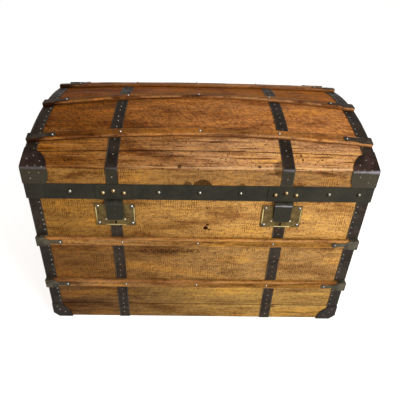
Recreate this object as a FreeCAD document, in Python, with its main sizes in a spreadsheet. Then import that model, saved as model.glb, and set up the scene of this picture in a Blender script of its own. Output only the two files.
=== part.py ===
import FreeCAD, Part
import math
import os

import Sketcher
from FreeCAD import Placement, Rotation, Vector

# Dome top trunk: a wooden box with a dome lid, bound with slats, straps and sheet metal.
# X runs along the front, the front faces -Y, Z is up, and the floor is at Z = 0.
# All lengths are in millimetres.

doc = FreeCAD.newDocument("dome_top_trunk")

# ---------------------------------------------------------------- driving sizes

sheet = doc.addObject("Spreadsheet::Sheet", "Sizes")
SIZES = (
    # base box
    ("base_width", 860),
    ("base_depth", 570),
    ("rim_height", 456),
    ("board_thickness", 14),
    ("floor_thickness", 12),
    ("lower_board_height", 58),
    # sheet metal, straps and bindings
    ("sheet_metal", 1.2),
    ("strap_width", 30),
    ("strap_offset", 215),
    ("binding_leg", 29),
    ("bottom_cap_metal", 1.5),
    ("bottom_cap_radius", 54),
    ("bottom_corner_cut", 14),
    # slats and their end clamps
    ("slat_width", 26),
    ("slat_thickness", 10.5),
    ("slat_edge", 2),
    ("lower_slat_height", 151),
    ("upper_slat_drop", 148),
    ("end_slat_setback", 46),
    ("clamp_length", 36),
    ("clamp_tongue", 26),
    ("clamp_neck", 11),
    ("clamp_eye_radius", 7.5),
    ("clamp_slack", 0.5),
    ("slat_nail_offset", 202),
    ("nail_radius", 3),
    ("nail_rise", 2),
    # lid
    ("lid_gap", 0.5),
    ("lid_overhang", 3),
    ("lid_wall", 9),
    ("lip_height", 75.5),
    ("end_rise", 77),
    ("middle_rise", 87),
    ("ridge_radius", 5),
    ("shoulder_joint_at_ends", 46),
    ("shoulder_joint_at_middle", 54),
    ("outer_slat_at_ends", 88),
    ("outer_slat_at_middle", 113),
    ("second_slat_at_ends", 237),
    ("second_slat_at_middle", 286),
    ("third_slat_at_ends", 203),
    ("third_slat_at_middle", 199),
    ("dome_slat_thickness", 8.5),
    ("lid_cap_radius", 64),
    # valance band and its studs
    ("valance_height", 45),
    ("valance_lap", 12),
    ("stud_radius", 5.2),
    ("stud_rise", 4.5),
    ("stud_inner", 102),
    ("stud_outer", 323),
    ("stud_corner_inset", 35),
    # hasps
    ("hasp_plate_width", 88),
    ("hasp_plate_metal", 1.5),
    ("hasp_neck_width", 46),
    ("hasp_knuckle_radius", 4.5),
    ("hasp_pin_radius", 2),
    ("hasp_plate_corner", 7),
    ("hasp_knuckle_seat", 2.6),
    ("hasp_flap_width", 44),
    ("hasp_flap_length", 57),
    ("hasp_flap_metal", 2),
    ("hasp_flap_corner", 9),
    ("hasp_knuckle_width", 18),
    ("hasp_stud_spread", 26),
    ("hasp_stud_radius", 6),
    ("hasp_stud_step", 6),
    ("staple_width", 14),
    ("staple_height", 9),
    # locks
    ("lock_plate_width", 103),
    ("lock_plate_height", 69),
    ("lock_plate_drop", 15),
    ("lock_plate_metal", 1.5),
    ("lock_nail_inset", 8),
    ("lock_nail_radius", 3.6),
    ("keyhole_radius", 2.6),
    ("keyhole_slot_width", 2.4),
    ("keyhole_slot_length", 7),
    ("keyhole_height", 13),
    ("lock_case_width", 84),
    ("lock_case_height", 58),
    ("lock_case_depth", 17),
    # rear hinges
    ("hinge_offset", 290),
    ("hinge_leaf_width", 62),
    ("hinge_leaf_height", 48),
    ("hinge_leaf_metal", 2.5),
    ("hinge_knuckle_radius", 5),
    ("hinge_pin_radius", 3),
    ("hinge_middle_knuckle", 20),
    # end handles
    ("handle_span", 236),
    ("handle_reach", 34),
    ("handle_strap_width", 28),
    ("handle_strap_thickness", 7),
    ("handle_foot", 32),
    ("handle_slope", 26),
    ("handle_cap_length", 30),
    ("handle_cap_metal", 1.5),
    ("handle_cap_flange", 11),
    # clearances
    ("seam_clearance", 0.1),
    ("slot_clearance", 1),
    ("turning_clearance", 0.4),
    ("pin_clearance", 0.05),
    ("side_clearance", 0.5),
)
for row, (alias, value) in enumerate(SIZES, start=1):
    sheet.set("A%d" % row, alias)
    sheet.set("B%d" % row, str(value))
    sheet.setAlias("B%d" % row, alias)

# ---------------------------------------------------------------- worked-out places

places = doc.addObject("Spreadsheet::Sheet", "Places")
PLACES = (
    ("front_face", "=-Sizes.base_depth / 2"),
    ("back_face", "=Sizes.base_depth / 2"),
    ("end_face", "=Sizes.base_width / 2"),
    ("lid_front", "=-Sizes.base_depth / 2 - Sizes.lid_overhang"),
    ("lid_end", "=Sizes.base_width / 2 + Sizes.lid_overhang"),
    ("lid_bottom", "=Sizes.rim_height + Sizes.lid_gap"),
    ("lip_top", "=lid_bottom + Sizes.lip_height"),
    ("lower_slat", "=Sizes.lower_slat_height"),
    ("upper_slat", "=Sizes.rim_height - Sizes.upper_slat_drop"),
    ("handle_middle", "=(lower_slat + upper_slat) / 2"),
    ("slat_foot", "=Sizes.sheet_metal"),
    ("slat_top", "=Sizes.sheet_metal + Sizes.slat_thickness"),
    ("valance_bottom", "=Sizes.rim_height - Sizes.valance_lap"),
    ("valance_top", "=valance_bottom + Sizes.valance_height"),
    ("valance_face", "=-Sizes.base_depth / 2 - Sizes.lid_overhang - Sizes.sheet_metal"),
    ("hasp_face", "=valance_face - Sizes.hasp_plate_metal"),
    ("hasp_pivot_y", "=hasp_face - Sizes.hasp_knuckle_radius + Sizes.hasp_knuckle_seat"),
    ("hasp_pivot_z", "=valance_bottom - Sizes.hasp_knuckle_radius - Sizes.side_clearance"),
    ("lock_top", "=valance_bottom - Sizes.lock_plate_drop"),
    ("lock_bottom", "=lock_top - Sizes.lock_plate_height"),
    ("lock_middle", "=(lock_top + lock_bottom) / 2"),
    ("lock_back", "=-Sizes.base_depth / 2 - Sizes.sheet_metal"),
    ("lock_face", "=-Sizes.base_depth / 2 - Sizes.sheet_metal - Sizes.lock_plate_metal"),
    ("strap_seat", "=Sizes.seam_clearance"),
    ("slat_seat", "=strap_seat + Sizes.sheet_metal + Sizes.seam_clearance"),
    ("hinge_pivot_y", "=Sizes.base_depth / 2 + Sizes.hinge_knuckle_radius + Sizes.turning_clearance"),
    ("hinge_pivot_z", "=Sizes.rim_height + Sizes.lid_gap / 2"),
)
for row, (alias, formula) in enumerate(PLACES, start=1):
    places.set("A%d" % row, alias)
    places.set("B%d" % row, formula)
    places.setAlias("B%d" % row, alias)
doc.recompute()


def size(alias):
    """Number held by a driving size."""
    return float(sheet.get(alias))


def place(alias):
    """Number held by a worked-out place."""
    return float(places.get(alias))


# ---------------------------------------------------------------- helpers

nodes = []


def node(label, item):
    """Name a finished piece and keep it for export."""
    item.Label = label
    nodes.append(item)
    return item


def bind(item, **formulas):
    """Bind properties of an object to sheet formulas; double underscores stand for dots."""
    for name, formula in formulas.items():
        item.setExpression(name.replace("__", "."), formula)
    return item


def block(name, x, y, z, length, width, height):
    """Rectangular solid: formulas for its low corner and its extent along X, Y and Z."""
    item = doc.addObject("Part::Box", name)
    return bind(item, Placement__Base__x=x, Placement__Base__y=y, Placement__Base__z=z,
                Length=length, Width=width, Height=height)


def rod(name, x, y, z, radius, length):
    """Round bar along X: formulas for its low end's centre, radius and length."""
    item = doc.addObject("Part::Cylinder", name)
    item.Placement = Placement(Vector(), Rotation(Vector(0, 1, 0), 90))
    return bind(item, Placement__Base__x=x, Placement__Base__y=y, Placement__Base__z=z,
                Radius=radius, Height=length)


def cut(name, base, tool):
    """Base with the tool taken away."""
    item = doc.addObject("Part::Cut", name)
    item.Base, item.Tool = base, tool
    return item


def fuse(name, parts):
    """Several overlapping solids made one."""
    item = doc.addObject("Part::MultiFuse", name)
    item.Shapes = parts
    return item


def soften(kind, name, solid, reach, chosen):
    """Chamfer or fillet of the edges that chosen accepts."""
    doc.recompute([solid])
    item = doc.addObject("Part::" + kind, name)
    item.Base = solid
    item.Edges = [(index, reach, reach) for index, edge in enumerate(solid.Shape.Edges, start=1)
                  if chosen(edge)]
    return item


def group(label, members):
    """Several like solids kept under one name."""
    item = doc.addObject("Part::Compound", label)
    item.Links = members
    return node(label, item)


def formed(label, shape):
    """Piece whose curved form is worked out below from the sheet's sizes."""
    item = doc.addObject("Part::Feature", label)
    item.Shape = shape
    item.Placement = Placement()
    return node(label, item)


def domed_nail(radius, rise):
    """Nail or stud head: a spherical cap that stands on XY."""
    ball = (radius ** 2 + rise ** 2) / (2 * rise)
    sphere = Part.makeSphere(ball, Vector(0, 0, rise - ball))
    above = Part.makeBox(2 * ball, 2 * ball, 2 * ball, Vector(-ball, -ball, 0))
    return sphere.common(above)


def stand(shape, point, outward):
    """Copy of a shape made along +Z, set at a point and turned to face outward."""
    copy = shape.copy()
    copy.Placement = Placement(point, Rotation(Vector(0, 0, 1), outward))
    return copy


SIDES = (("left", -1), ("right", 1))
FACES = (("front", -1), ("back", 1))

# ---------------------------------------------------------------- base box

# Each wall is three boards edge to edge, with hairline joints; the upper joint lies behind the
# upper slat. The bottom corners are cut off.
BOARD_LEVELS = (
    ("lower", "Sizes.bottom_cap_metal", "Sizes.lower_board_height - Sizes.bottom_cap_metal"),
    ("middle", "Sizes.lower_board_height + Sizes.seam_clearance",
     "Places.upper_slat - Sizes.lower_board_height - 2 * Sizes.seam_clearance"),
    ("upper", "Places.upper_slat", "Sizes.upper_slat_drop"),
)


def corner_cutter(name, standing_off):
    """Wedges that cut off the four bottom corners, on a face this far outside the wood's own."""
    reach = size("bottom_corner_cut") - standing_off * math.sqrt(3)
    spare = 2 * (size("sheet_metal") + size("bottom_cap_metal"))
    leg = reach + 3 * spare
    wedges = []
    for x in (-1, 1):
        for y in (-1, 1):
            tip = Vector(x * (place("end_face") + spare), y * (place("back_face") + spare),
                         size("bottom_cap_metal") - spare)
            along_x = tip - Vector(x * leg, 0, 0)
            along_y = tip - Vector(0, y * leg, 0)
            along_z = tip + Vector(0, 0, leg)
            faces = [Part.Face(Part.makePolygon(list(corners) + [corners[0]]))
                     for corners in ((tip, along_x, along_y), (tip, along_y, along_z),
                                     (tip, along_z, along_x), (along_x, along_y, along_z))]
            wedges.append(Part.Solid(Part.Shell(faces)))
    item = doc.addObject("Part::Feature", name)
    item.Shape = Part.Compound(wedges)
    return item


wood_cutter = corner_cutter("wood_corners", 0)
binding_cutter = corner_cutter("binding_corners", size("sheet_metal"))
cap_cutter = corner_cutter("cap_corners", size("sheet_metal") + size("bottom_cap_metal"))


def wall_boards(name, x, y, length, width):
    """The three boards of one wall, the lowest with its bottom corners cut off."""
    boards = [block("%s_%s" % (name, level), x, y, low, length, width, tall)
              for level, low, tall in BOARD_LEVELS]
    return [cut(name + "_lower_cut", boards[0], wood_cutter)] + boards[1:]


for face, y in (("front", "Places.front_face"), ("back", "Places.back_face - Sizes.board_thickness")):
    group("%s_boards" % face,
          wall_boards("%s_board" % face, "-Places.end_face", y, "Sizes.base_width", "Sizes.board_thickness"))
for side, x in (("left", "-Places.end_face"), ("right", "Places.end_face - Sizes.board_thickness")):
    group("%s_end_boards" % side,
          wall_boards("%s_end_board" % side, x,
                      "Places.front_face + Sizes.board_thickness + Sizes.seam_clearance",
                      "Sizes.board_thickness",
                      "Sizes.base_depth - 2 * (Sizes.board_thickness + Sizes.seam_clearance)"))

FLOOR_BOARDS = 4
floor_pitch = "(Sizes.base_depth - 2 * Sizes.board_thickness - 2 * Sizes.seam_clearance) / %d" % FLOOR_BOARDS
group("floor_boards", [
    block("floor_board_%d" % (count + 1),
          "-Places.end_face + Sizes.board_thickness + Sizes.seam_clearance",
          "Places.front_face + Sizes.board_thickness + Sizes.seam_clearance + %d * %s"
          % (count, floor_pitch),
          "Sizes.bottom_cap_metal",
          "Sizes.base_width - 2 * (Sizes.board_thickness + Sizes.seam_clearance)",
          "%s - Sizes.seam_clearance" % floor_pitch,
          "Sizes.floor_thickness")
    for count in range(FLOOR_BOARDS)])

# Corner bindings: sheet-metal angles nailed over the four upright corners.
for face, front_back in FACES:
    angles = []
    for side, left_right in SIDES:
        name = "%s_%s" % (face, side)
        low_x = {"left": "-Places.end_face - Sizes.sheet_metal",
                 "right": "Places.end_face - Sizes.binding_leg"}[side]
        low_y = {"front": "Places.front_face - Sizes.sheet_metal",
                 "back": "Places.back_face - Sizes.binding_leg"}[face]
        corner = block("binding_outer_" + name, low_x, low_y, "Sizes.bottom_cap_metal",
                       "Sizes.binding_leg + Sizes.sheet_metal", "Sizes.binding_leg + Sizes.sheet_metal",
                       "Sizes.rim_height - Sizes.bottom_cap_metal")
        wood = block("binding_wood_" + name, "-Places.end_face", "Places.front_face", "0",
                     "Sizes.base_width", "Sizes.base_depth", "Sizes.rim_height + 1")
        angle = cut("binding_angle_" + name, corner, wood)
        angles.append(cut("binding_cut_" + name, angle, binding_cutter))
    group("corner_bindings_%s" % face, angles)

# Bottom corner caps: each is the corner of a thin metal box, with its tip cut off, inside a sphere.
for face, front_back in FACES:
    caps = []
    for side, left_right in SIDES:
        name = "%s_%s" % (face, side)
        skin = block("cap_outer_" + name,
                     "-Places.end_face - Sizes.sheet_metal - Sizes.bottom_cap_metal",
                     "Places.front_face - Sizes.sheet_metal - Sizes.bottom_cap_metal", "0",
                     "Sizes.base_width + 2 * (Sizes.sheet_metal + Sizes.bottom_cap_metal)",
                     "Sizes.base_depth + 2 * (Sizes.sheet_metal + Sizes.bottom_cap_metal)",
                     "Sizes.rim_height")
        core = block("cap_inner_" + name,
                     "-Places.end_face - Sizes.sheet_metal", "Places.front_face - Sizes.sheet_metal",
                     "Sizes.bottom_cap_metal", "Sizes.base_width + 2 * Sizes.sheet_metal",
                     "Sizes.base_depth + 2 * Sizes.sheet_metal", "Sizes.rim_height")
        ball = doc.addObject("Part::Sphere", "cap_round_" + name)
        bind(ball, Radius="Sizes.bottom_cap_radius",
             Placement__Base__x="%d * Places.end_face" % left_right,
             Placement__Base__y="%d * Places.back_face" % front_back,
             Placement__Base__z="Sizes.bottom_cap_metal")
        shell = cut("cap_shell_" + name, cut("cap_skin_" + name, skin, cap_cutter),
                    cut("cap_core_" + name, core, binding_cutter))
        cap = doc.addObject("Part::Common", "bottom_cap_" + name)
        cap.Base, cap.Tool = shell, ball
        caps.append(cap)
    group("bottom_corner_caps_%s" % face, caps)

# Straps run from the bottom edge to the rim, under the slats.
for side, left_right in SIDES:
    node("front_strap_%s" % side,
         block("front_strap_" + side, "%d * Sizes.strap_offset - Sizes.strap_width / 2" % left_right,
               "Places.front_face - Sizes.sheet_metal", "Sizes.bottom_cap_metal",
               "Sizes.strap_width", "Sizes.sheet_metal", "Sizes.rim_height - Sizes.bottom_cap_metal"))
group("back_straps", [
    block("back_strap_" + side, "%d * Sizes.strap_offset - Sizes.strap_width / 2" % left_right,
          "Places.back_face", "Sizes.bottom_cap_metal",
          "Sizes.strap_width", "Sizes.sheet_metal", "Sizes.rim_height - Sizes.bottom_cap_metal")
    for side, left_right in SIDES])

# Slats: long ones on the front and back, shorter ones on the ends.
SLAT_LEVELS = (("lower", "Places.lower_slat"), ("upper", "Places.upper_slat"))


def slat(name, x, y, level, length, width, outward):
    """Straight slat with its outer long edges eased; outward is the way its top faces."""
    bar = block(name + "_bar", x, y, "%s - Sizes.slat_width / 2" % level, length, width, "Sizes.slat_width")
    doc.recompute([bar])
    top = max(corner.Point.dot(outward) for corner in bar.Shape.Vertexes)
    return soften("Chamfer", name, bar, size("slat_edge"),
                  lambda edge: (edge.Length > size("slat_width") + 1
                                and edge.CenterOfMass.dot(outward) > top - 1e-6))


for face, y, outward in (("front", "Places.front_face - Places.slat_top", Vector(0, -1, 0)),
                         ("back", "Places.back_face + Places.slat_foot", Vector(0, 1, 0))):
    for level_name, level in SLAT_LEVELS:
        name = "%s_slat_%s" % (face, level_name)
        node(name, slat(name, "-Places.end_face", y, level, "Sizes.base_width", "Sizes.slat_thickness",
                        outward))
end_slats = [
    slat("%s_slat_%s" % (side, level_name), x, "Places.front_face + Sizes.end_slat_setback", level,
         "Sizes.slat_thickness", "Sizes.base_depth - 2 * Sizes.end_slat_setback", outward)
    for side, x, outward in (("left", "-Places.end_face - Places.slat_top", Vector(-1, 0, 0)),
                             ("right", "Places.end_face + Places.slat_foot", Vector(1, 0, 0)))
    for level_name, level in SLAT_LEVELS]
group("end_slats", end_slats)


def clamp_plate(width, start):
    """Flat part of a slat's end clamp, lying on XY: broad from start, it tapers to a neck along
    +X and ends in a round eye for one nail."""
    shoulder = size("clamp_length") - width / 2
    neck = size("clamp_neck") / 2
    eye = Part.makeCylinder(size("clamp_eye_radius"), metal, Vector(eye_reach, 0, 0))
    edge = [Vector(start, width / 2, 0), Vector(shoulder, width / 2, 0),
            Vector(size("clamp_length"), neck, 0), Vector(eye_reach, neck, 0)]
    outline = edge + [Vector(point.x, -point.y, 0) for point in reversed(edge)]
    sheet_face = Part.Face(Part.makePolygon(outline + outline[:1]))
    return sheet_face.extrude(Vector(0, 0, metal)).fuse(eye).removeSplitter()


def wrapped_clamp():
    """Clamp round the end of a base slat, which runs along +X from the origin with +Z outward: a
    plate over the slat, and walls down its sides and end."""
    slack = size("clamp_slack")
    tall = size("slat_thickness") + slack
    width = size("slat_width") + 2 * (slack + metal)
    start = -slack - metal
    plate = clamp_plate(width, start)
    plate.translate(Vector(0, 0, tall))
    long = size("clamp_length") - width / 2 - start
    walls = [Part.makeBox(metal, width, tall, Vector(start, -width / 2, 0))]
    walls += [Part.makeBox(long, metal, tall, Vector(start, y, 0)) for y in (-width / 2, width / 2 - metal)]
    return plate.fuse(walls).removeSplitter()


def turned(shape, point, along, outward):
    """Copy of a shape whose X goes along and whose Z goes outward, set at a point."""
    along = Vector(along).normalize()
    outward = Vector(outward)
    across = outward.cross(along).normalize()
    outward = along.cross(across)
    copy = shape.copy()
    matrix = FreeCAD.Matrix(along.x, across.x, outward.x, point.x,
                            along.y, across.y, outward.y, point.y,
                            along.z, across.z, outward.z, point.z,
                            0, 0, 0, 1)
    copy.Placement = Placement(matrix).multiply(shape.Placement)
    return copy


def clamp_nail(thickness):
    """Nail in the eye of a clamp on a slat this thick, placed as the clamp is."""
    eye_top = thickness + size("clamp_slack") + size("sheet_metal")
    nail = slat_nail.copy()
    nail.translate(Vector(eye_reach, 0, eye_top))
    return nail


metal = size("sheet_metal")
eye_reach = size("clamp_length") + size("clamp_tongue")
clamp = wrapped_clamp()
slat_nail = domed_nail(size("nail_radius"), size("nail_rise"))

base_clamps = []
base_nails = []
for face, front_back in FACES:
    outward = Vector(0, front_back, 0)
    foot_y = front_back * (place("back_face") + place("slat_foot"))
    top_y = front_back * (place("back_face") + place("slat_top"))
    for level in (place("lower_slat"), place("upper_slat")):
        for side, left_right in SIDES:
            end = Vector(left_right * place("end_face"), foot_y, level)
            base_clamps.append(turned(clamp, end, Vector(-left_right, 0, 0), outward))
            base_nails.append(turned(clamp_nail(size("slat_thickness")), end, Vector(-left_right, 0, 0),
                                     outward))
        for x in (-size("slat_nail_offset"), 0, size("slat_nail_offset")):
            base_nails.append(stand(slat_nail, Vector(x, top_y, level), outward))
formed("base_slat_clamps", Part.Compound(base_clamps))
formed("base_slat_nails", Part.Compound(base_nails))

# ---------------------------------------------------------------- locks


def plane_of(body, role):
    """Origin plane of a body, such as XZ_Plane."""
    return next(item for item in body.Origin.OriginFeatures if item.Role == role)


def sketch_on(body, name, role):
    """Sketch attached to one of the body's origin planes."""
    sketch = body.newObject("Sketcher::SketchObject", name)
    sketch.AttachmentSupport = [(plane_of(body, role), "")]
    sketch.MapMode = "FlatFace"
    return sketch


def sketch_box(sketch, low_x, low_y, wide, tall):
    """Rectangle in a sketch: low corner and extent, each a (number, formula) pair."""
    x, y, dx, dy = low_x[0], low_y[0], wide[0], tall[0]
    corners = [Vector(x, y, 0), Vector(x + dx, y, 0), Vector(x + dx, y + dy, 0), Vector(x, y + dy, 0)]
    first = sketch.GeometryCount
    for index in range(4):
        sketch.addGeometry(Part.LineSegment(corners[index], corners[(index + 1) % 4]), False)
    for index in range(4):
        sketch.addConstraint(Sketcher.Constraint("Coincident", first + index, 2, first + (index + 1) % 4, 1))
    for index, kind in enumerate(("Horizontal", "Vertical", "Horizontal", "Vertical")):
        sketch.addConstraint(Sketcher.Constraint(kind, first + index))
    sketch_size(sketch, Sketcher.Constraint("DistanceX", -1, 1, first, 1, x), low_x[1])
    sketch_size(sketch, Sketcher.Constraint("DistanceY", -1, 1, first, 1, y), low_y[1])
    sketch_size(sketch, Sketcher.Constraint("DistanceX", first, 1, first, 2, dx), wide[1])
    sketch_size(sketch, Sketcher.Constraint("DistanceY", first + 1, 1, first + 1, 2, dy), tall[1])


def sketch_circle(sketch, centre_x, centre_y, radius):
    """Circle in a sketch: centre and radius, each a (number, formula) pair."""
    circle = Part.Circle(Vector(centre_x[0], centre_y[0], 0), Vector(0, 0, 1), radius[0])
    index = sketch.addGeometry(circle, False)
    sketch_size(sketch, Sketcher.Constraint("DistanceX", -1, 1, index, 3, centre_x[0]), centre_x[1])
    sketch_size(sketch, Sketcher.Constraint("DistanceY", -1, 1, index, 3, centre_y[0]), centre_y[1])
    sketch_size(sketch, Sketcher.Constraint("Radius", index, radius[0]), radius[1])


def sketch_size(sketch, constraint, formula):
    """Add a dimension to a sketch and bind it to a formula."""
    index = sketch.addConstraint(constraint)
    sketch.setExpression("Constraints[%d]" % index, formula)


def pad(body, name, sketch, length):
    """Pad of a sketch by a formula."""
    feature = body.newObject("PartDesign::Pad", name)
    feature.Profile = sketch
    feature.setExpression("Length", length)
    sketch.Visibility = False
    return feature


def pocket(body, name, sketch):
    """Pocket of a sketch right through the body."""
    feature = body.newObject("PartDesign::Pocket", name)
    feature.Profile = sketch
    feature.Type = 1
    feature.Midplane = True
    sketch.Visibility = False
    return feature


# Lock plates: brass plates with a keyhole, each over a lock case on the inside of the front.
plate_nail = domed_nail(size("lock_nail_radius"), size("nail_rise"))
lock_nails = []
lock_cases = []
for side, left_right in SIDES:
    body = doc.addObject("PartDesign::Body", "lock_plate_" + side)
    outline = sketch_on(body, "lock_outline_" + side, "XZ_Plane")
    width, height = size("lock_plate_width"), size("lock_plate_height")
    sketch_box(outline, (-width / 2, "-Sizes.lock_plate_width / 2"), (0, "0"),
               (width, "Sizes.lock_plate_width"), (height, "Sizes.lock_plate_height"))
    pad(body, "lock_sheet_" + side, outline, "Sizes.lock_plate_metal")
    doc.recompute()
    eye = sketch_on(body, "keyhole_eye_sketch_" + side, "XZ_Plane")
    sketch_circle(eye, (0, "0"), (size("keyhole_height"), "Sizes.keyhole_height"),
                  (size("keyhole_radius"), "Sizes.keyhole_radius"))
    pocket(body, "keyhole_eye_" + side, eye)
    slot = sketch_on(body, "keyhole_slot_sketch_" + side, "XZ_Plane")
    sketch_box(slot, (-size("keyhole_slot_width") / 2, "-Sizes.keyhole_slot_width / 2"),
               (size("keyhole_height") - size("keyhole_slot_length"),
                "Sizes.keyhole_height - Sizes.keyhole_slot_length"),
               (size("keyhole_slot_width"), "Sizes.keyhole_slot_width"),
               (size("keyhole_slot_length"), "Sizes.keyhole_slot_length"))
    pocket(body, "keyhole_slot_" + side, slot)
    staple_slot = sketch_on(body, "staple_slot_sketch_" + side, "XZ_Plane")
    room = size("slot_clearance")
    sketch_box(staple_slot,
               (-size("staple_width") / 2 - room, "-Sizes.staple_width / 2 - Sizes.slot_clearance"),
               ((height - size("staple_height")) / 2 - room,
                "(Sizes.lock_plate_height - Sizes.staple_height) / 2 - Sizes.slot_clearance"),
               (size("staple_width") + 2 * room, "Sizes.staple_width + 2 * Sizes.slot_clearance"),
               (size("staple_height") + 2 * room, "Sizes.staple_height + 2 * Sizes.slot_clearance"))
    pocket(body, "staple_slot_" + side, staple_slot)
    bind(body, Placement__Base__x="%d * Sizes.strap_offset" % left_right,
         Placement__Base__y="Places.lock_back", Placement__Base__z="Places.lock_bottom")
    node("lock_plate_" + side, body)
    lock_cases.append(block(
        "lock_case_" + side, "%d * Sizes.strap_offset - Sizes.lock_case_width / 2" % left_right,
        "Places.front_face + Sizes.board_thickness",
        "Places.lock_middle - Sizes.lock_case_height / 2",
        "Sizes.lock_case_width", "Sizes.lock_case_depth", "Sizes.lock_case_height"))
    inset = size("lock_nail_inset")
    for x in (-width / 2 + inset, width / 2 - inset):
        for z in (place("lock_bottom") + inset, place("lock_top") - inset):
            lock_nails.append(stand(plate_nail,
                                    Vector(left_right * size("strap_offset") + x, place("lock_face"), z),
                                    Vector(0, -1, 0)))
group("lock_cases", lock_cases)
formed("lock_plate_nails", Part.Compound(lock_nails))

# ---------------------------------------------------------------- end handles

# A stiff leather grip stands off each end; a metal cap holds each of its two feet.


def handle_strip():
    """Grip on the right end, bent out from two flat feet."""
    half = size("handle_span") / 2
    thick = size("handle_strap_thickness")
    knee_y = half - size("handle_foot")
    grip_y = knee_y - size("handle_slope")
    reach = size("handle_reach")
    # the inner face follows the outer one, a strap's thickness behind it
    set_back = thick * math.tan(math.atan2(reach - thick, size("handle_slope")) / 2)
    outer = [(0, half), (thick, half), (thick, knee_y), (reach, grip_y)]
    inner = [(reach - thick, grip_y - set_back), (0, knee_y - set_back)]
    corners = outer + [(x, -y) for x, y in reversed(outer)]
    corners += [(x, -y) for x, y in reversed(inner)] + inner
    low = place("handle_middle") - size("handle_strap_width") / 2
    points = [Vector(place("end_face") + x, y, low) for x, y in corners]
    return Part.Face(Part.makePolygon(points + points[:1])).extrude(Vector(0, 0, size("handle_strap_width")))


def handle_cap():
    """Metal cap over the grip's rear foot on the right end: a cover with two screwed flanges."""
    metal = size("handle_cap_metal")
    gap = size("turning_clearance")
    flange = size("handle_cap_flange")
    length = size("handle_cap_length")
    thick = size("handle_strap_thickness")
    tall = size("handle_strap_width") + 2 * (metal + gap)
    cover = Part.makeBox(thick + gap + metal, length, tall)
    wings = Part.makeBox(metal, length, tall + 2 * flange, Vector(0, 0, -flange))
    room = Part.makeBox(thick + gap, length - metal, tall - 2 * metal, Vector(0, 0, metal))
    cap = cover.fuse(wings).cut(room)
    cap.translate(Vector(place("end_face"), size("handle_span") / 2 + gap + metal - length,
                         place("handle_middle") - tall / 2))
    return cap.removeSplitter()


strip, cap = handle_strip(), handle_cap()
along_x, along_y = Vector(1, 0, 0), Vector(0, 1, 0)
caps = []
for side, left_right in SIDES:
    formed("handle_" + side, strip if left_right > 0 else strip.mirror(Vector(), along_x))
    for front_back in (-1, 1):
        turned_cap = cap if front_back > 0 else cap.mirror(Vector(), along_y)
        caps.append(turned_cap if left_right > 0 else turned_cap.mirror(Vector(), along_x))
formed("handle_end_caps", Part.Compound(caps))

# ---------------------------------------------------------------- dome form

LID_WIDTH = 2 * place("lid_end")
LID_DEPTH = size("base_depth") + size("lid_overhang")
LID_MIDDLE = -size("lid_overhang") / 2
LEAST_RIDGE = 3.0
LEAST_SHARE = 0.01
CURVE_STEPS = 24


def dome_form(x, offset):
    """Half depth, rise, ridge radius, crown radius and crown angle of the dome at x.

    The outline is vertical at the lip, turns over a small ridge arc and meets a wide crown arc
    that rises from the ends to the middle."""
    bow = 1 - (2 * x / LID_WIDTH) ** 2
    half = LID_DEPTH / 2 + offset
    rise = size("end_rise") + (size("middle_rise") - size("end_rise")) * bow + offset
    ridge = max(size("ridge_radius") + offset, LEAST_RIDGE)
    crown = ((half - ridge) ** 2 + rise ** 2 - ridge ** 2) / (2 * (rise - ridge))
    angle = math.asin((half - ridge) / (crown - ridge))
    return half, rise, ridge, crown, angle


def half_arc(x, offset=0.0):
    """Length of the dome's outline from the lip to the apex at x."""
    half, rise, ridge, crown, angle = dome_form(x, offset)
    return ridge * (math.pi / 2 - angle) + crown * angle


def knee(x, offset=0.0):
    """Share of the half outline that the ridge arc takes."""
    half, rise, ridge, crown, angle = dome_form(x, offset)
    return ridge * (math.pi / 2 - angle) / half_arc(x, offset)


def dome_frame(x, share, offset=0.0):
    """Point, direction and outward normal on the outline at x; share is 0 at the front lip,
    1 at the apex and 2 at the back lip."""
    half, rise, ridge, crown, angle = dome_form(x, offset)
    near = share if share <= 1 else 2 - share
    run = near * half_arc(x, offset)
    bend = ridge * (math.pi / 2 - angle)
    if run < bend:
        tilt = math.pi / 2 - run / ridge
        y = -half + ridge - ridge * math.sin(tilt)
        z = ridge * math.cos(tilt)
    else:
        tilt = angle - (run - bend) / crown
        y = -crown * math.sin(tilt)
        z = rise - crown + crown * math.cos(tilt)
    mirror = 1 if share <= 1 else -1
    point = Vector(x, LID_MIDDLE + mirror * y, place("lip_top") + z)
    direction = Vector(0, math.cos(tilt), mirror * math.sin(tilt))
    normal = Vector(0, -mirror * math.sin(tilt), math.cos(tilt))
    return point, direction, normal


def outline_stops(x, low, high, offset):
    """Shares where the arcs of a stretch meet: its ends, and between them the knees, which are
    kept just inside the stretch so that every section of a loft has as many arcs."""
    bend = knee(x, offset)
    if high <= 1:
        knees = [bend]
    elif low >= 1:
        knees = [2 - bend]
    else:
        knees = [bend, 2 - bend]
    return [low] + [min(max(stop, low + LEAST_SHARE), high - LEAST_SHARE) for stop in knees] + [high]


def outline_arcs(x, start, end, offset):
    """Arcs along the outline at x from one share to another."""
    stops = outline_stops(x, min(start, end), max(start, end), offset)
    if start > end:
        stops.reverse()
    arcs = []
    for first, last in zip(stops, stops[1:]):
        points = [dome_frame(x, share, offset)[0] for share in (first, (first + last) / 2, last)]
        arcs.append(Part.Arc(*points).toShape())
    return arcs


def outline_curve(x, start, end, offset):
    """One smooth curve along the outline at x, with its points spaced alike at every x."""
    steps = [index / CURVE_STEPS for index in range(CURVE_STEPS + 1)]
    points = [dome_frame(x, start + (end - start) * step, offset)[0] for step in steps]
    curve = Part.BSplineCurve()
    curve.interpolate(Points=points, Parameters=steps)
    return [curve.toShape()]


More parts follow.
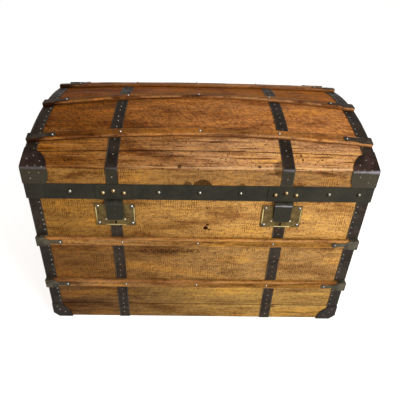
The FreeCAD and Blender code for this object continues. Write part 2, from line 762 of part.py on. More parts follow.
def outline_ring(x, start, end, inner, outer, line=outline_arcs):
    """Closed ring between two offsets of the outline at x."""
    corner = [dome_frame(x, start, inner)[0], dome_frame(x, start, outer)[0],
              dome_frame(x, end, outer)[0], dome_frame(x, end, inner)[0]]
    edges = [Part.LineSegment(corner[0], corner[1]).toShape()]
    edges += line(x, start, end, outer)
    edges.append(Part.LineSegment(corner[2], corner[3]).toShape())
    edges += line(x, end, start, inner)
    return Part.Wire(edges)


def stations(low, high, count):
    """Places along X from low to high, closer together near both ends."""
    middle, reach = (low + high) / 2, (high - low) / 2
    return [middle - reach * math.cos(math.pi * index / (count - 1)) for index in range(count)]


def bowed_share(x, which):
    """Share of the outline at which a slat or joint lies, counted from the nearer lip; each
    follows a shallow bow between its places at the ends and at the middle."""
    bow = 1 - (2 * x / LID_WIDTH) ** 2
    at_ends = size(which + "_at_ends") / half_arc(LID_WIDTH / 2)
    at_middle = size(which + "_at_middle") / half_arc(0)
    return at_ends + (at_middle - at_ends) * bow


def lid_loft(rings, ruled=False):
    """Solid through a row of rings."""
    solid = Part.makeLoft(rings, True, ruled)
    if solid.Volume < 0:
        solid.reverse()
    return solid


# ---------------------------------------------------------------- lid shell

STATIONS = 13
inside = -size("lid_wall")
lid_span = stations(-place("lid_end"), place("lid_end"), STATIONS)


def joint_shares(x):
    """Shares at which the dome boards meet: near each lip, and under the slats."""
    front = [bowed_share(x, which) for which in ("shoulder_joint", "outer_slat", "second_slat")]
    back = [2 - bowed_share(x, which) for which in ("third_slat", "outer_slat", "shoulder_joint")]
    return [0] + front + back + [2]


for face, y in (("front", "Places.lid_front"), ("back", "Places.back_face - Sizes.lid_wall")):
    node("lid_lip_" + face,
         block("lid_lip_" + face, "-Places.lid_end", y, "Places.lid_bottom",
               "2 * Places.lid_end", "Sizes.lid_wall", "Sizes.lip_height"))
BOARD_NAMES = ("front_lower", "front_shoulder", "front_crown", "top",
               "back_crown", "back_shoulder", "back_lower")
for index, name in enumerate(BOARD_NAMES):
    rings = [outline_ring(x, joint_shares(x)[index], joint_shares(x)[index + 1], inside, 0, outline_curve)
             for x in lid_span]
    formed("dome_board_" + name, lid_loft(rings))

for side, left_right in SIDES:
    rings = []
    for x in (place("lid_end") - size("board_thickness"), place("lid_end")):
        x *= left_right
        clear = inside - size("seam_clearance")
        front = dome_frame(x, 0, clear)[0]
        back = dome_frame(x, 2, clear)[0]
        low = place("lid_bottom")
        edges = outline_arcs(x, 0, 2, clear)
        edges.append(Part.LineSegment(back, Vector(x, back.y, low)).toShape())
        edges.append(Part.LineSegment(Vector(x, back.y, low), Vector(x, front.y, low)).toShape())
        edges.append(Part.LineSegment(Vector(x, front.y, low), front).toShape())
        rings.append(Part.Wire(edges))
    formed("lid_end_board_" + side, lid_loft(rings, True))

# ---------------------------------------------------------------- lid slats

# Four slats over the dome, each bent along it, with a clamp at both ends.
slat_seat = place("slat_seat")


def slat_ring(x, share):
    """Cross-section of a dome slat, with its outer edges eased."""
    point, direction, normal = dome_frame(x, share, slat_seat)
    half, tall, edge = size("slat_width") / 2, size("dome_slat_thickness"), size("slat_edge")
    corners = [(-half, 0), (-half, tall - edge), (-half + edge, tall),
               (half - edge, tall), (half, tall - edge), (half, 0)]
    points = [point + direction * along + normal * up for along, up in corners]
    return Part.makePolygon(points + points[:1])


def dome_clamp(left_right, share_at):
    """Clamp and its nail at one end of a dome slat: a plate along the slat, folded down over the
    slat's end, which lies square to X. It leaves the slat's long edges bare."""
    end = left_right * place("lid_end")
    slack = size("clamp_slack")
    tall = size("dome_slat_thickness") + slack
    width = size("slat_width") - 2 * size("slat_edge")
    foot, across, foot_normal = dome_frame(end, share_at(end), slat_seat)
    inward = end - left_right * eye_reach
    far, direction, far_normal = dome_frame(inward, share_at(inward), slat_seat)
    outward = foot_normal + far_normal
    plate = clamp_plate(width, -width)
    plate.translate(Vector(0, 0, tall))
    plate = turned(plate, foot, far - foot, outward)
    outside = Part.makeBox(2 * width, 4 * width, 4 * width, foot + Vector(0, -2 * width, -2 * width))
    if left_right < 0:
        outside.translate(Vector(-2 * width, 0, 0))
    outside.translate(Vector(left_right * (slack + metal), 0, 0))
    corners = [foot + across * along + foot_normal * up
               for along, up in ((-width / 2, 0), (width / 2, 0), (width / 2, tall + metal / 2),
                                 (-width / 2, tall + metal / 2))]
    fold = Part.Face(Part.makePolygon(corners + corners[:1])).extrude(Vector(left_right * metal, 0, 0))
    fold.translate(Vector(left_right * slack, 0, 0))
    nail = turned(clamp_nail(size("dome_slat_thickness")), foot, far - foot, outward)
    return plate.cut(outside).fuse(fold).removeSplitter(), nail


SLATS = ((1, lambda x: bowed_share(x, "outer_slat")), (2, lambda x: bowed_share(x, "second_slat")),
         (3, lambda x: 2 - bowed_share(x, "third_slat")), (4, lambda x: 2 - bowed_share(x, "outer_slat")))
dome_clamps = []
dome_nails = []
for number, share_at in SLATS:
    formed("dome_slat_%d" % number, lid_loft([slat_ring(x, share_at(x)) for x in lid_span]))
    for left_right in (-1, 1):
        metal_clamp, nail = dome_clamp(left_right, share_at)
        dome_clamps.append(metal_clamp)
        dome_nails.append(nail)
    for x in (-size("slat_nail_offset"), 0, size("slat_nail_offset")):
        before, middle, after = [dome_frame(x + step * size("nail_radius"), share_at(x), slat_seat)
                                 for step in (-1, 0, 1)]
        foot, direction, normal = middle
        dome_nails.append(turned(slat_nail, foot + normal * size("dome_slat_thickness"),
                                 after[0] - before[0], normal))
formed("dome_slat_clamps", Part.Compound(dome_clamps))
formed("dome_slat_nails", Part.Compound(dome_nails))

# ---------------------------------------------------------------- lid metalwork

# Straps: over the dome from lip to lip, under the slats, and down to the valance.
strap_seat = place("strap_seat")
strap_top = strap_seat + metal
for side, left_right in SIDES:
    low = left_right * size("strap_offset") - size("strap_width") / 2
    high = low + size("strap_width")
    over = lid_loft([outline_ring(x, 0, 2, strap_seat, strap_top) for x in (low, high)], True)
    fall = place("lip_top") - place("valance_top")
    front = Part.makeBox(size("strap_width"), metal, fall,
                         Vector(low, place("lid_front") - strap_top, place("valance_top")))
    tail = place("lip_top") - place("lid_bottom")
    back = Part.makeBox(size("strap_width"), metal, tail,
                        Vector(low, place("back_face") + strap_seat, place("lid_bottom")))
    formed("lid_strap_" + side, over.fuse([front, back]).removeSplitter())

# End bindings: an angle of sheet metal bent along each end of the dome.
for side, left_right in SIDES:
    leg = size("binding_leg")
    outer_x = left_right * place("lid_end")
    start = (size("lid_cap_radius") - leg) / half_arc(outer_x)
    top_leg = lid_loft([outline_ring(x, start, 2 - start, strap_seat, strap_top)
                        for x in (outer_x - left_right * leg, outer_x)], True)
    ring = outline_ring(outer_x, start, 2 - start, -leg, strap_top)
    end_leg = Part.Face(ring).extrude(Vector(left_right * metal, 0, 0))
    formed("lid_binding_" + side, top_leg.fuse(end_leg).removeSplitter())


def lid_corner_cap(left_right, front_back):
    """Cap over one of the lid's upper corners: lip, shoulder and end faces, inside a sphere."""
    radius = size("lid_cap_radius")
    outer_x = left_right * place("lid_end")
    inner_x = left_right * (place("lid_end") - radius)
    reach = radius / half_arc(outer_x)
    start, end = (0, reach) if front_back < 0 else (2 - reach, 2)
    face = slat_seat + metal
    top = lid_loft([outline_ring(x, start, end, slat_seat, face) for x in stations(inner_x, outer_x, 3)])
    low = place("valance_top")
    wall_y = place("lid_front") if front_back < 0 else place("back_face")
    lip = Part.makeBox(radius, metal, place("lip_top") - low,
                       Vector(min(inner_x, outer_x), wall_y + (slat_seat if front_back > 0 else -face), low))
    front, back = [dome_frame(outer_x, share, face)[0] for share in (0, 2)]
    front_foot, back_foot = Vector(outer_x, front.y, low), Vector(outer_x, back.y, low)
    edges = outline_arcs(outer_x, 0, 2, face)
    edges += [Part.LineSegment(*ends).toShape()
              for ends in ((back, back_foot), (back_foot, front_foot), (front_foot, front))]
    end_plate = Part.Face(Part.Wire(edges)).extrude(Vector(left_right * 2 * metal, 0, 0))
    binding_room = Part.Face(Part.Wire(edges)).extrude(Vector(left_right * metal, 0, 0))
    shelf = outline_ring(outer_x, start, end, slat_seat, face)
    edge_plate = Part.Face(shelf).extrude(Vector(left_right * metal, 0, 0))
    lip_corner = Part.makeBox(metal, metal, place("lip_top") - low,
                              Vector(min(outer_x, outer_x + left_right * metal), lip.BoundBox.YMin, low))
    ball = Part.makeSphere(radius, Vector(outer_x, wall_y, place("lip_top") - radius / 6))
    whole = top.fuse([lip, end_plate.cut(binding_room), edge_plate, lip_corner])
    return whole.common(ball).removeSplitter()


formed("lid_corner_caps", Part.Compound(
    [lid_corner_cap(left_right, front_back) for face, front_back in FACES for side, left_right in SIDES]))

# Valance: one band round the front and ends, lapping over the rim of the base.
band_outer = block("valance_outer", "-Places.lid_end - Sizes.sheet_metal", "Places.valance_face",
                   "Places.valance_bottom", "2 * (Places.lid_end + Sizes.sheet_metal)",
                   "Sizes.base_depth + Sizes.lid_overhang + Sizes.sheet_metal", "Sizes.valance_height")
band_inner = block("valance_inner", "-Places.lid_end", "Places.lid_front", "Places.valance_bottom - 1",
                   "2 * Places.lid_end", "Sizes.base_depth + 2 * Sizes.lid_overhang + 1",
                   "Sizes.valance_height + 2")
node("valance", cut("valance_band", band_outer, band_inner))

stud = domed_nail(size("stud_radius"), size("stud_rise"))
stud_places = [-size("stud_outer"), -size("stud_inner"), 0, size("stud_inner"), size("stud_outer"),
               place("lid_end") - size("stud_corner_inset")]
stud_z = (place("valance_bottom") + place("valance_top")) / 2
formed("valance_studs", Part.Compound(
    [stand(stud, Vector(x, place("valance_face"), stud_z), Vector(0, -1, 0)) for x in stud_places]))

# ---------------------------------------------------------------- hasps

hasp_studs = []
hasp_pins = []
big_stud = domed_nail(size("hasp_stud_radius"), size("stud_rise"))
for side, left_right in SIDES:
    centre = "%d * Sizes.strap_offset" % left_right
    neck_half = "Sizes.hasp_neck_width / 2"
    middle_half = "Sizes.hasp_knuckle_width / 2"
    knuckle_length = "(Sizes.hasp_neck_width - Sizes.hasp_knuckle_width) / 2 - Sizes.side_clearance"
    ear_height = "Places.valance_bottom - Places.hasp_pivot_z + Sizes.hasp_plate_metal"
    sheet_part = block("hasp_sheet_" + side, centre + " - Sizes.hasp_plate_width / 2", "Places.hasp_face",
                       "Places.valance_bottom", "Sizes.hasp_plate_width", "Sizes.hasp_plate_metal",
                       "Sizes.valance_height")
    sheet_top = place("valance_top")
    parts = [soften("Fillet", "hasp_rounded_" + side, sheet_part, size("hasp_plate_corner"),
                    lambda edge: (edge.Length < size("hasp_plate_metal") + 1e-6
                                  and edge.CenterOfMass.z > sheet_top - 1e-6))]
    for turn, low in (("a", "%s - %s" % (centre, neck_half)),
                      ("b", "%s + %s + Sizes.side_clearance" % (centre, middle_half))):
        ear = block("hasp_ear_%s_%s" % (side, turn), low, "Places.hasp_face", "Places.hasp_pivot_z",
                    knuckle_length, "Sizes.hasp_plate_metal", ear_height)
        knuckle = rod("hasp_knuckle_%s_%s" % (side, turn), low, "Places.hasp_pivot_y",
                      "Places.hasp_pivot_z", "Sizes.hasp_knuckle_radius", knuckle_length)
        parts += [ear, knuckle]
    bore = rod("hasp_bore_" + side, centre + " - Sizes.hasp_neck_width", "Places.hasp_pivot_y",
               "Places.hasp_pivot_z", "Sizes.hasp_pin_radius", "2 * Sizes.hasp_neck_width")
    node("hasp_plate_" + side, cut("hasp_hanger_" + side, fuse("hasp_solid_" + side, parts), bore))

    hasp_pins.append(rod("hasp_pin_" + side, centre + " - " + neck_half, "Places.hasp_pivot_y",
                         "Places.hasp_pivot_z", "Sizes.hasp_pin_radius", "Sizes.hasp_neck_width"))

    # Flap: hangs from the pin in front of the lock plate, with a staple on its back.
    flap_front = "Places.hasp_pivot_y - Sizes.side_clearance - Sizes.hasp_flap_metal / 2"
    flap_back = flap_front + " + Sizes.hasp_flap_metal"
    flap_sheet = block("flap_sheet_" + side, centre + " - Sizes.hasp_flap_width / 2", flap_front,
                       "Places.hasp_pivot_z - Sizes.hasp_flap_length", "Sizes.hasp_flap_width",
                       "Sizes.hasp_flap_metal",
                       "Sizes.hasp_flap_length - Sizes.hasp_knuckle_radius - Sizes.turning_clearance")
    flap_foot = place("hasp_pivot_z") - size("hasp_flap_length")
    flap_rounded = soften("Fillet", "flap_rounded_" + side, flap_sheet, size("hasp_flap_corner"),
                          lambda edge: (edge.Length < size("hasp_flap_metal") + 1e-6
                                        and edge.CenterOfMass.z < flap_foot + 1e-6))
    tongue = block("flap_tongue_" + side, centre + " - " + middle_half, flap_front,
                   "Places.hasp_pivot_z - Sizes.hasp_knuckle_radius - Sizes.hasp_flap_metal",
                   "Sizes.hasp_knuckle_width", "Sizes.hasp_flap_metal",
                   "Sizes.hasp_knuckle_radius + Sizes.hasp_flap_metal / 2")
    flap_knuckle = rod("flap_knuckle_" + side, centre + " - " + middle_half, "Places.hasp_pivot_y",
                       "Places.hasp_pivot_z", "Sizes.hasp_knuckle_radius", "Sizes.hasp_knuckle_width")
    staple_root = flap_back + " - Sizes.hasp_flap_metal / 4"
    staple = block("flap_staple_" + side, centre + " - Sizes.staple_width / 2", staple_root,
                   "Places.lock_middle - Sizes.staple_height / 2", "Sizes.staple_width",
                   "Places.lock_face - Sizes.turning_clearance - (%s)" % staple_root,
                   "Sizes.staple_height")
    flap_bore = rod("flap_bore_" + side, centre + " - Sizes.hasp_neck_width", "Places.hasp_pivot_y",
                    "Places.hasp_pivot_z", "Sizes.hasp_pin_radius + Sizes.pin_clearance",
                    "2 * Sizes.hasp_neck_width")
    flap_solid = fuse("flap_solid_" + side, [flap_rounded, tongue, flap_knuckle, staple])
    node("hasp_flap_" + side, cut("hasp_flap_" + side, flap_solid, flap_bore))

    for turn in (-1, 0, 1):
        x = left_right * size("strap_offset") + turn * size("hasp_stud_spread")
        rise = size("hasp_stud_step") / 2 if turn == 0 else -size("hasp_stud_step") / 2
        hasp_studs.append(stand(big_stud, Vector(x, place("hasp_face"), stud_z + rise), Vector(0, -1, 0)))
group("hasp_pins", hasp_pins)
formed("hasp_studs", Part.Compound(hasp_studs))

# ---------------------------------------------------------------- rear hinges

HINGES = (-1, 0, 1)
base_leaves = []
lid_leaves = []
hinge_pins = []
for number in HINGES:
    centre = "%d * Sizes.hinge_offset" % number
    name = "hinge_%d" % (number + 2)
    half = "Sizes.hinge_leaf_width / 2"
    middle = "Sizes.hinge_middle_knuckle / 2"
    outer_length = "%s - %s - Sizes.side_clearance" % (half, middle)
    low_left = "%s - %s" % (centre, half)
    low_right = "%s + %s + Sizes.side_clearance" % (centre, middle)
    base_plate = block(name + "_base_plate", low_left, "Places.back_face",
                       "Places.hinge_pivot_z - Sizes.hinge_leaf_height", "Sizes.hinge_leaf_width",
                       "Sizes.hinge_leaf_metal", "Sizes.hinge_leaf_height - Sizes.lid_gap")
    base_room = rod(name + "_base_room", centre + " - " + middle + " - Sizes.side_clearance",
                    "Places.hinge_pivot_y", "Places.hinge_pivot_z",
                    "Sizes.hinge_knuckle_radius + Sizes.turning_clearance",
                    "Sizes.hinge_middle_knuckle + 2 * Sizes.side_clearance")
    base_parts = [cut(name + "_base_notch", base_plate, base_room)]
    for low in (low_left, low_right):
        base_parts.append(rod("%s_base_knuckle_%d" % (name, len(base_parts)), low, "Places.hinge_pivot_y",
                              "Places.hinge_pivot_z", "Sizes.hinge_knuckle_radius", outer_length))
    base_bore = rod(name + "_base_bore", low_left + " - 1", "Places.hinge_pivot_y", "Places.hinge_pivot_z",
                    "Sizes.hinge_pin_radius", "Sizes.hinge_leaf_width + 2")
    base_leaves.append(cut(name + "_base_leaf", fuse(name + "_base_solid", base_parts), base_bore))

    lid_plate = block(name + "_lid_plate", low_left, "Places.back_face",
                      "Places.hinge_pivot_z + Sizes.lid_gap", "Sizes.hinge_leaf_width",
                      "Sizes.hinge_leaf_metal", "Sizes.hinge_leaf_height - Sizes.lid_gap")
    lid_tools = []
    for low in (low_left, low_right):
        lid_tools.append(rod("%s_lid_room_%d" % (name, len(lid_tools)),
                             low + " - Sizes.side_clearance", "Places.hinge_pivot_y", "Places.hinge_pivot_z",
                             "Sizes.hinge_knuckle_radius + Sizes.turning_clearance",
                             outer_length + " + 2 * Sizes.side_clearance"))
    lid_notched = cut(name + "_lid_notch", lid_plate, fuse(name + "_lid_rooms", lid_tools))
    lid_knuckle = rod(name + "_lid_knuckle", centre + " - " + middle, "Places.hinge_pivot_y",
                      "Places.hinge_pivot_z", "Sizes.hinge_knuckle_radius", "Sizes.hinge_middle_knuckle")
    lid_bore = rod(name + "_lid_bore", low_left + " - 1", "Places.hinge_pivot_y", "Places.hinge_pivot_z",
                   "Sizes.hinge_pin_radius + Sizes.pin_clearance", "Sizes.hinge_leaf_width + 2")
    lid_solid = fuse(name + "_lid_solid", [lid_notched, lid_knuckle])
    lid_leaves.append(cut(name + "_lid_leaf", lid_solid, lid_bore))
    hinge_pins.append(rod(name + "_pin", low_left, "Places.hinge_pivot_y", "Places.hinge_pivot_z",
                          "Sizes.hinge_pin_radius", "Sizes.hinge_leaf_width"))
group("hinge_leaves_base", base_leaves)
group("hinge_leaves_lid", lid_leaves)
group("hinge_pins", hinge_pins)

# ---------------------------------------------------------------- check and write

doc.recompute()
for item in doc.Objects:
    if "Invalid" in item.State or "Error" in item.State:
        raise RuntimeError("%s did not compute: %s" % (item.Name, item.State))
os.makedirs("parts", exist_ok=True)
for item in nodes:
    if not item.Shape.isValid() or not item.Shape.Solids:
        raise RuntimeError("%s is not a valid solid" % item.Label)
    item.Shape.exportStep("parts/%s.step" % item.Label)
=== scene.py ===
import bmesh
import bpy
import math
import random

from mathutils import Matrix, Vector, noise
from mathutils.bvhtree import BVHTree


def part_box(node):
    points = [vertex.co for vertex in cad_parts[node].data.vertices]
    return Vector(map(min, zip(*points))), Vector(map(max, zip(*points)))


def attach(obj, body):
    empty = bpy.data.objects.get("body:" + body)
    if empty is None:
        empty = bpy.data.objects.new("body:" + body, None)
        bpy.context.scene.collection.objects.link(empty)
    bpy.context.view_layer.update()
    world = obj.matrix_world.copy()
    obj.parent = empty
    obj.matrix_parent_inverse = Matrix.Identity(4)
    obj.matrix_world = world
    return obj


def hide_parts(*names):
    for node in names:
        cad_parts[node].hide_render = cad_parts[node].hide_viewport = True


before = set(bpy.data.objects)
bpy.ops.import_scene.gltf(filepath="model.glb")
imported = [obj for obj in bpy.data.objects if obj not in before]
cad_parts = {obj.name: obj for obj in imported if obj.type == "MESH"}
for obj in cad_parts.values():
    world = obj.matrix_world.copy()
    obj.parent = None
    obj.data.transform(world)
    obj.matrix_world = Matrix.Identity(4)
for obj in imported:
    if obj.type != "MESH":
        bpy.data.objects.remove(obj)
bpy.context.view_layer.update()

# ---- Studio: a white floor under a white sky, one broad lamp high on the right and a weak one on
# the left. The camera looks down on the front from a little left of the middle.

scene = bpy.context.scene


def add(name, data):
    """New object in the scene."""
    item = bpy.data.objects.new(name, data)
    scene.collection.objects.link(item)
    return item


camera_place = Vector((-0.039, -1.0802, 1.0067))
camera_tilt = math.radians(29.77)
camera_turn = math.radians(0.53)
camera_roll = math.radians(1.08)
camera_data = bpy.data.cameras.new("studio_camera")
camera_data.sensor_width = 36
camera_data.lens = 34.47
camera_data.shift_x = 0.0318
camera_data.shift_y = -0.0942
camera = add("studio_camera", camera_data)
camera.matrix_world = (Matrix.Translation(camera_place) @ Matrix.Rotation(-camera_turn, 4, "Z")
                       @ Matrix.Rotation(math.pi / 2 - camera_tilt, 4, "X")
                       @ Matrix.Rotation(camera_roll, 4, "Z"))
scene.camera = camera
scene.view_settings.view_transform = "Standard"


def tone(red, green, blue):
    """Colour for a shader, from the three numbers of a paint chart, 0 to 255."""
    def linear(part):
        part /= 255
        return part / 12.92 if part <= 0.04045 else ((part + 0.055) / 1.055) ** 2.4
    return (linear(red), linear(green), linear(blue), 1.0)


at_work = {}


def begin(block):
    """Empty the shader tree of a new material or sky, and put nodes into it from now on."""
    block.use_nodes = True
    at_work["tree"] = block.node_tree
    at_work["tree"].nodes.clear()
    return block


def put(kind, inputs=None, **settings):
    """New shader node in the tree at work. Its inputs are numbers, colours of a paint chart or outputs of
    other nodes; gives its own outputs."""
    item = at_work["tree"].nodes.new("ShaderNode" + kind)
    for name, value in settings.items():
        setattr(item, name, value)
    for name, value in (inputs or {}).items():
        entry = item.inputs[name]
        if isinstance(value, bpy.types.NodeSocket):
            at_work["tree"].links.new(value, entry)
        else:
            entry.default_value = tone(*value) if entry.type == "RGBA" else value
    return item.outputs


def sums(kind, first, second):
    """Two numbers joined by a sum, product, larger or the like."""
    return put("Math", {0: first, 1: second}, operation=kind)[0]


def seen_directly():
    """1 where the camera, a mirror-like surface or glass looks straight at a surface."""
    path = put("LightPath")
    sharp = sums("MAXIMUM", path["Is Glossy Ray"], path["Is Transmission Ray"])
    return sums("MAXIMUM", path["Is Camera Ray"], sharp)


SKY_LEVEL = 0.42
FLOOR_GLOW = 0.66
FLOOR_REACH = 8
WHITE = (255, 255, 255)
sky = begin(bpy.data.worlds.new("studio_sky"))
dim_sky = put("Background", {"Color": (255, 252, 247), "Strength": SKY_LEVEL})[0]
white_sky = put("Background", {"Color": WHITE, "Strength": 1.0})[0]
shown_sky = put("MixShader", {0: seen_directly(), 1: dim_sky, 2: white_sky})[0]
put("OutputWorld", {"Surface": shown_sky})
scene.world = sky

floor_mesh = bmesh.new()
bmesh.ops.create_grid(floor_mesh, x_segments=1, y_segments=1, size=FLOOR_REACH)
floor_data = bpy.data.meshes.new("studio_floor")
floor_mesh.to_mesh(floor_data)
floor_paint = begin(bpy.data.materials.new("studio_floor"))
matt = put("BsdfDiffuse", {"Color": (238, 238, 238)})[0]
glow = put("Emission", {"Color": WHITE, "Strength": FLOOR_GLOW})[0]
lit = put("AddShader", {0: matt, 1: glow})[0]
shown = put("MixShader", {0: seen_directly(), 1: matt, 2: lit})[0]
put("OutputMaterial", {"Surface": shown})
floor_data.materials.append(floor_paint)
floor = add("studio_floor", floor_data)


def lamp(name, place, aim, width, power):
    """Square soft lamp at a place, turned to its aim."""
    data = bpy.data.lights.new(name, "AREA")
    data.size = width
    data.energy = power
    turn = (Vector(aim) - Vector(place)).to_track_quat("-Z", "Y")
    add(name, data).matrix_world = Matrix.Translation(place) @ turn.to_matrix().to_4x4()


lamp("key_lamp", (1.3, -1.55, 1.3), (0.1, -0.1, 0.3), 1.1, 40)
lamp("fill_lamp", (-1.9, -1.6, 1.2), (0, 0, 0.3), 1.6, 5)

# ---- Wall boards: three pine boards to each wall, stained golden brown, sawn across and eased on
# their edges. The bottom corners of the lowest ones are cut off under the metal caps. Below the lower
# slat, the middle ones are stained as the lowest ones are.

FACES = (("front", -1), ("back", 1))
ENDS = (("left", -1), ("right", 1))
HALF_WIDTH = 0.430
HALF_DEPTH = 0.285
RIM = 0.456
BOARD = 0.014
BOARD_FOOT = 0.0015
LOWER_JOINT = 0.058
UPPER_SLAT = 0.308
LOWER_SLAT = 0.151
LEVELS = ((BOARD_FOOT, LOWER_JOINT), (LOWER_JOINT, UPPER_SLAT), (UPPER_SLAT, RIM))
BOARD_EASE = 0.0012
CORNER_CUT = 0.014


def crease(mesh, angle=0.6):
    """Smooth shading, broken where two faces meet at more than the angle."""
    for face in mesh.faces:
        face.smooth = True
    for edge in mesh.edges:
        edge.smooth = len(edge.link_faces) == 2 and edge.calc_face_angle() < angle


def piece(name, meshes, materials, body, nodes=()):
    """Finished piece from one or more closed shells, riding on its body."""
    data = bpy.data.meshes.new(name)
    whole = bmesh.new()
    for mesh in meshes:
        crease(mesh)
        part = bpy.data.meshes.new(name + "_part")
        mesh.to_mesh(part)
        mesh.free()
        whole.from_mesh(part)
        bpy.data.meshes.remove(part)
    whole.to_mesh(data)
    whole.free()
    for material in materials:
        data.materials.append(material)
    item = add(name, data)
    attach(item, body)
    if nodes:
        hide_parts(*nodes)


def finish_node(name, material):
    """New finish for a solid of the frame."""
    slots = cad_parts[name].data.materials
    slots.clear()
    slots.append(material)


def round_edges(mesh, edges, radius, segments, finish=0):
    """Round some edges of a mesh; the new faces have the material of the given number."""
    bevel = bmesh.ops.bevel(mesh, geom=edges, offset=radius, offset_type="OFFSET", segments=segments,
                            profile=0.5, affect="EDGES", material=-1)
    for face in bevel["faces"]:
        face.material_index = finish


def plank(low, high, radius, finish=0):
    """Closed board between two corners; its rounded edges have the material of the given number."""
    mesh = bmesh.new()
    low, high = Vector(low), Vector(high)
    bmesh.ops.create_cube(mesh, size=1)
    bmesh.ops.scale(mesh, vec=high - low, verts=mesh.verts)
    bmesh.ops.translate(mesh, vec=(low + high) / 2, verts=mesh.verts)
    round_edges(mesh, mesh.edges[:], radius, 2, finish)
    return mesh


def cut(mesh, place, outward, keep_both=False):
    """Cut a mesh by a plane and take off what lies outward of it, unless both parts are kept."""
    bmesh.ops.bisect_plane(mesh, geom=mesh.faces[:] + mesh.edges[:] + mesh.verts[:], plane_co=place,
                           plane_no=outward, clear_outer=not keep_both)
    open_edges = [edge for edge in mesh.edges if edge.is_boundary]
    if open_edges:
        bmesh.ops.holes_fill(mesh, edges=open_edges)


def cut_corners(mesh, standing_off=0.0):
    """Take off the bottom corners of a board or a binding, on the slant."""
    reach = CORNER_CUT - standing_off * math.sqrt(3)
    for x in (-1, 1):
        for y in (-1, 1):
            cut(mesh, (x * HALF_WIDTH, y * HALF_DEPTH, BOARD_FOOT + reach), Vector((x, y, -1)).normalized())


def spot(vector, scale):
    """Point of the object, stretched by three factors."""
    return put("VectorMath", {0: vector, 1: scale}, operation="MULTIPLY")[0]


def cloud(vector, scale, detail=3.0, rough=0.55):
    """Noise between 0 and 1, stretched by three factors."""
    return put("TexNoise", {"Vector": spot(vector, scale), "Scale": 1.0, "Detail": detail,
                            "Roughness": rough})[0]


def ease(value, low, high, bottom=0.0, top=1.0):
    """Smooth step of a value between two limits."""
    return put("MapRange", {"Value": value, "From Min": low, "From Max": high, "To Min": bottom,
                            "To Max": top}, interpolation_type="SMOOTHSTEP")[0]


def times(first, second):
    """Product of two numbers."""
    return sums("MULTIPLY", first, second)


def apart(first, second):
    """Distance between two numbers."""
    return sums("ABSOLUTE", sums("SUBTRACT", first, second), 0.0)


def blend(share, first, second, kind="MIX"):
    """Mix of two colours."""
    return put("Mix", {0: share, 6: first, 7: second}, data_type="RGBA", blend_type=kind)[2]


def pores(vector, scale, radius, kept):
    """Round pits: 1 inside a pit; kept is the share of the cells that hold one."""
    cells = put("TexVoronoi", {"Vector": spot(vector, scale), "Scale": 1.0, "Randomness": 1.0})
    pit = ease(cells["Distance"], radius, radius * 0.6)
    chance = put("SeparateColor", {0: cells["Color"]})[0]
    return times(pit, sums("LESS_THAN", chance, kept))


def glaze(colour, share, shade, kind="MULTIPLY"):
    """Thin coat of a shade over a colour, where the share says."""
    return blend(share, colour, blend(1.0, colour, shade, kind))


def coat(colour, value, low, high, share, shade, kind="MULTIPLY"):
    """Glaze that grows from nothing to its share as a value goes from one limit to the other."""
    return glaze(colour, ease(value, low, high, 0, share), shade, kind)


def seal(colour, dull, relief, strength, depth, shine, metal=0.0):
    """Last nodes of a material: its relief, its surface and the output."""
    bump = put("Bump", {"Height": relief, "Strength": strength, "Distance": depth})[0]
    put("OutputMaterial", {"Surface": put("BsdfPrincipled", {
        "Base Color": colour, "Roughness": dull, "Normal": bump, "Metallic": metal,
        "Specular IOR Level": shine})[0]})


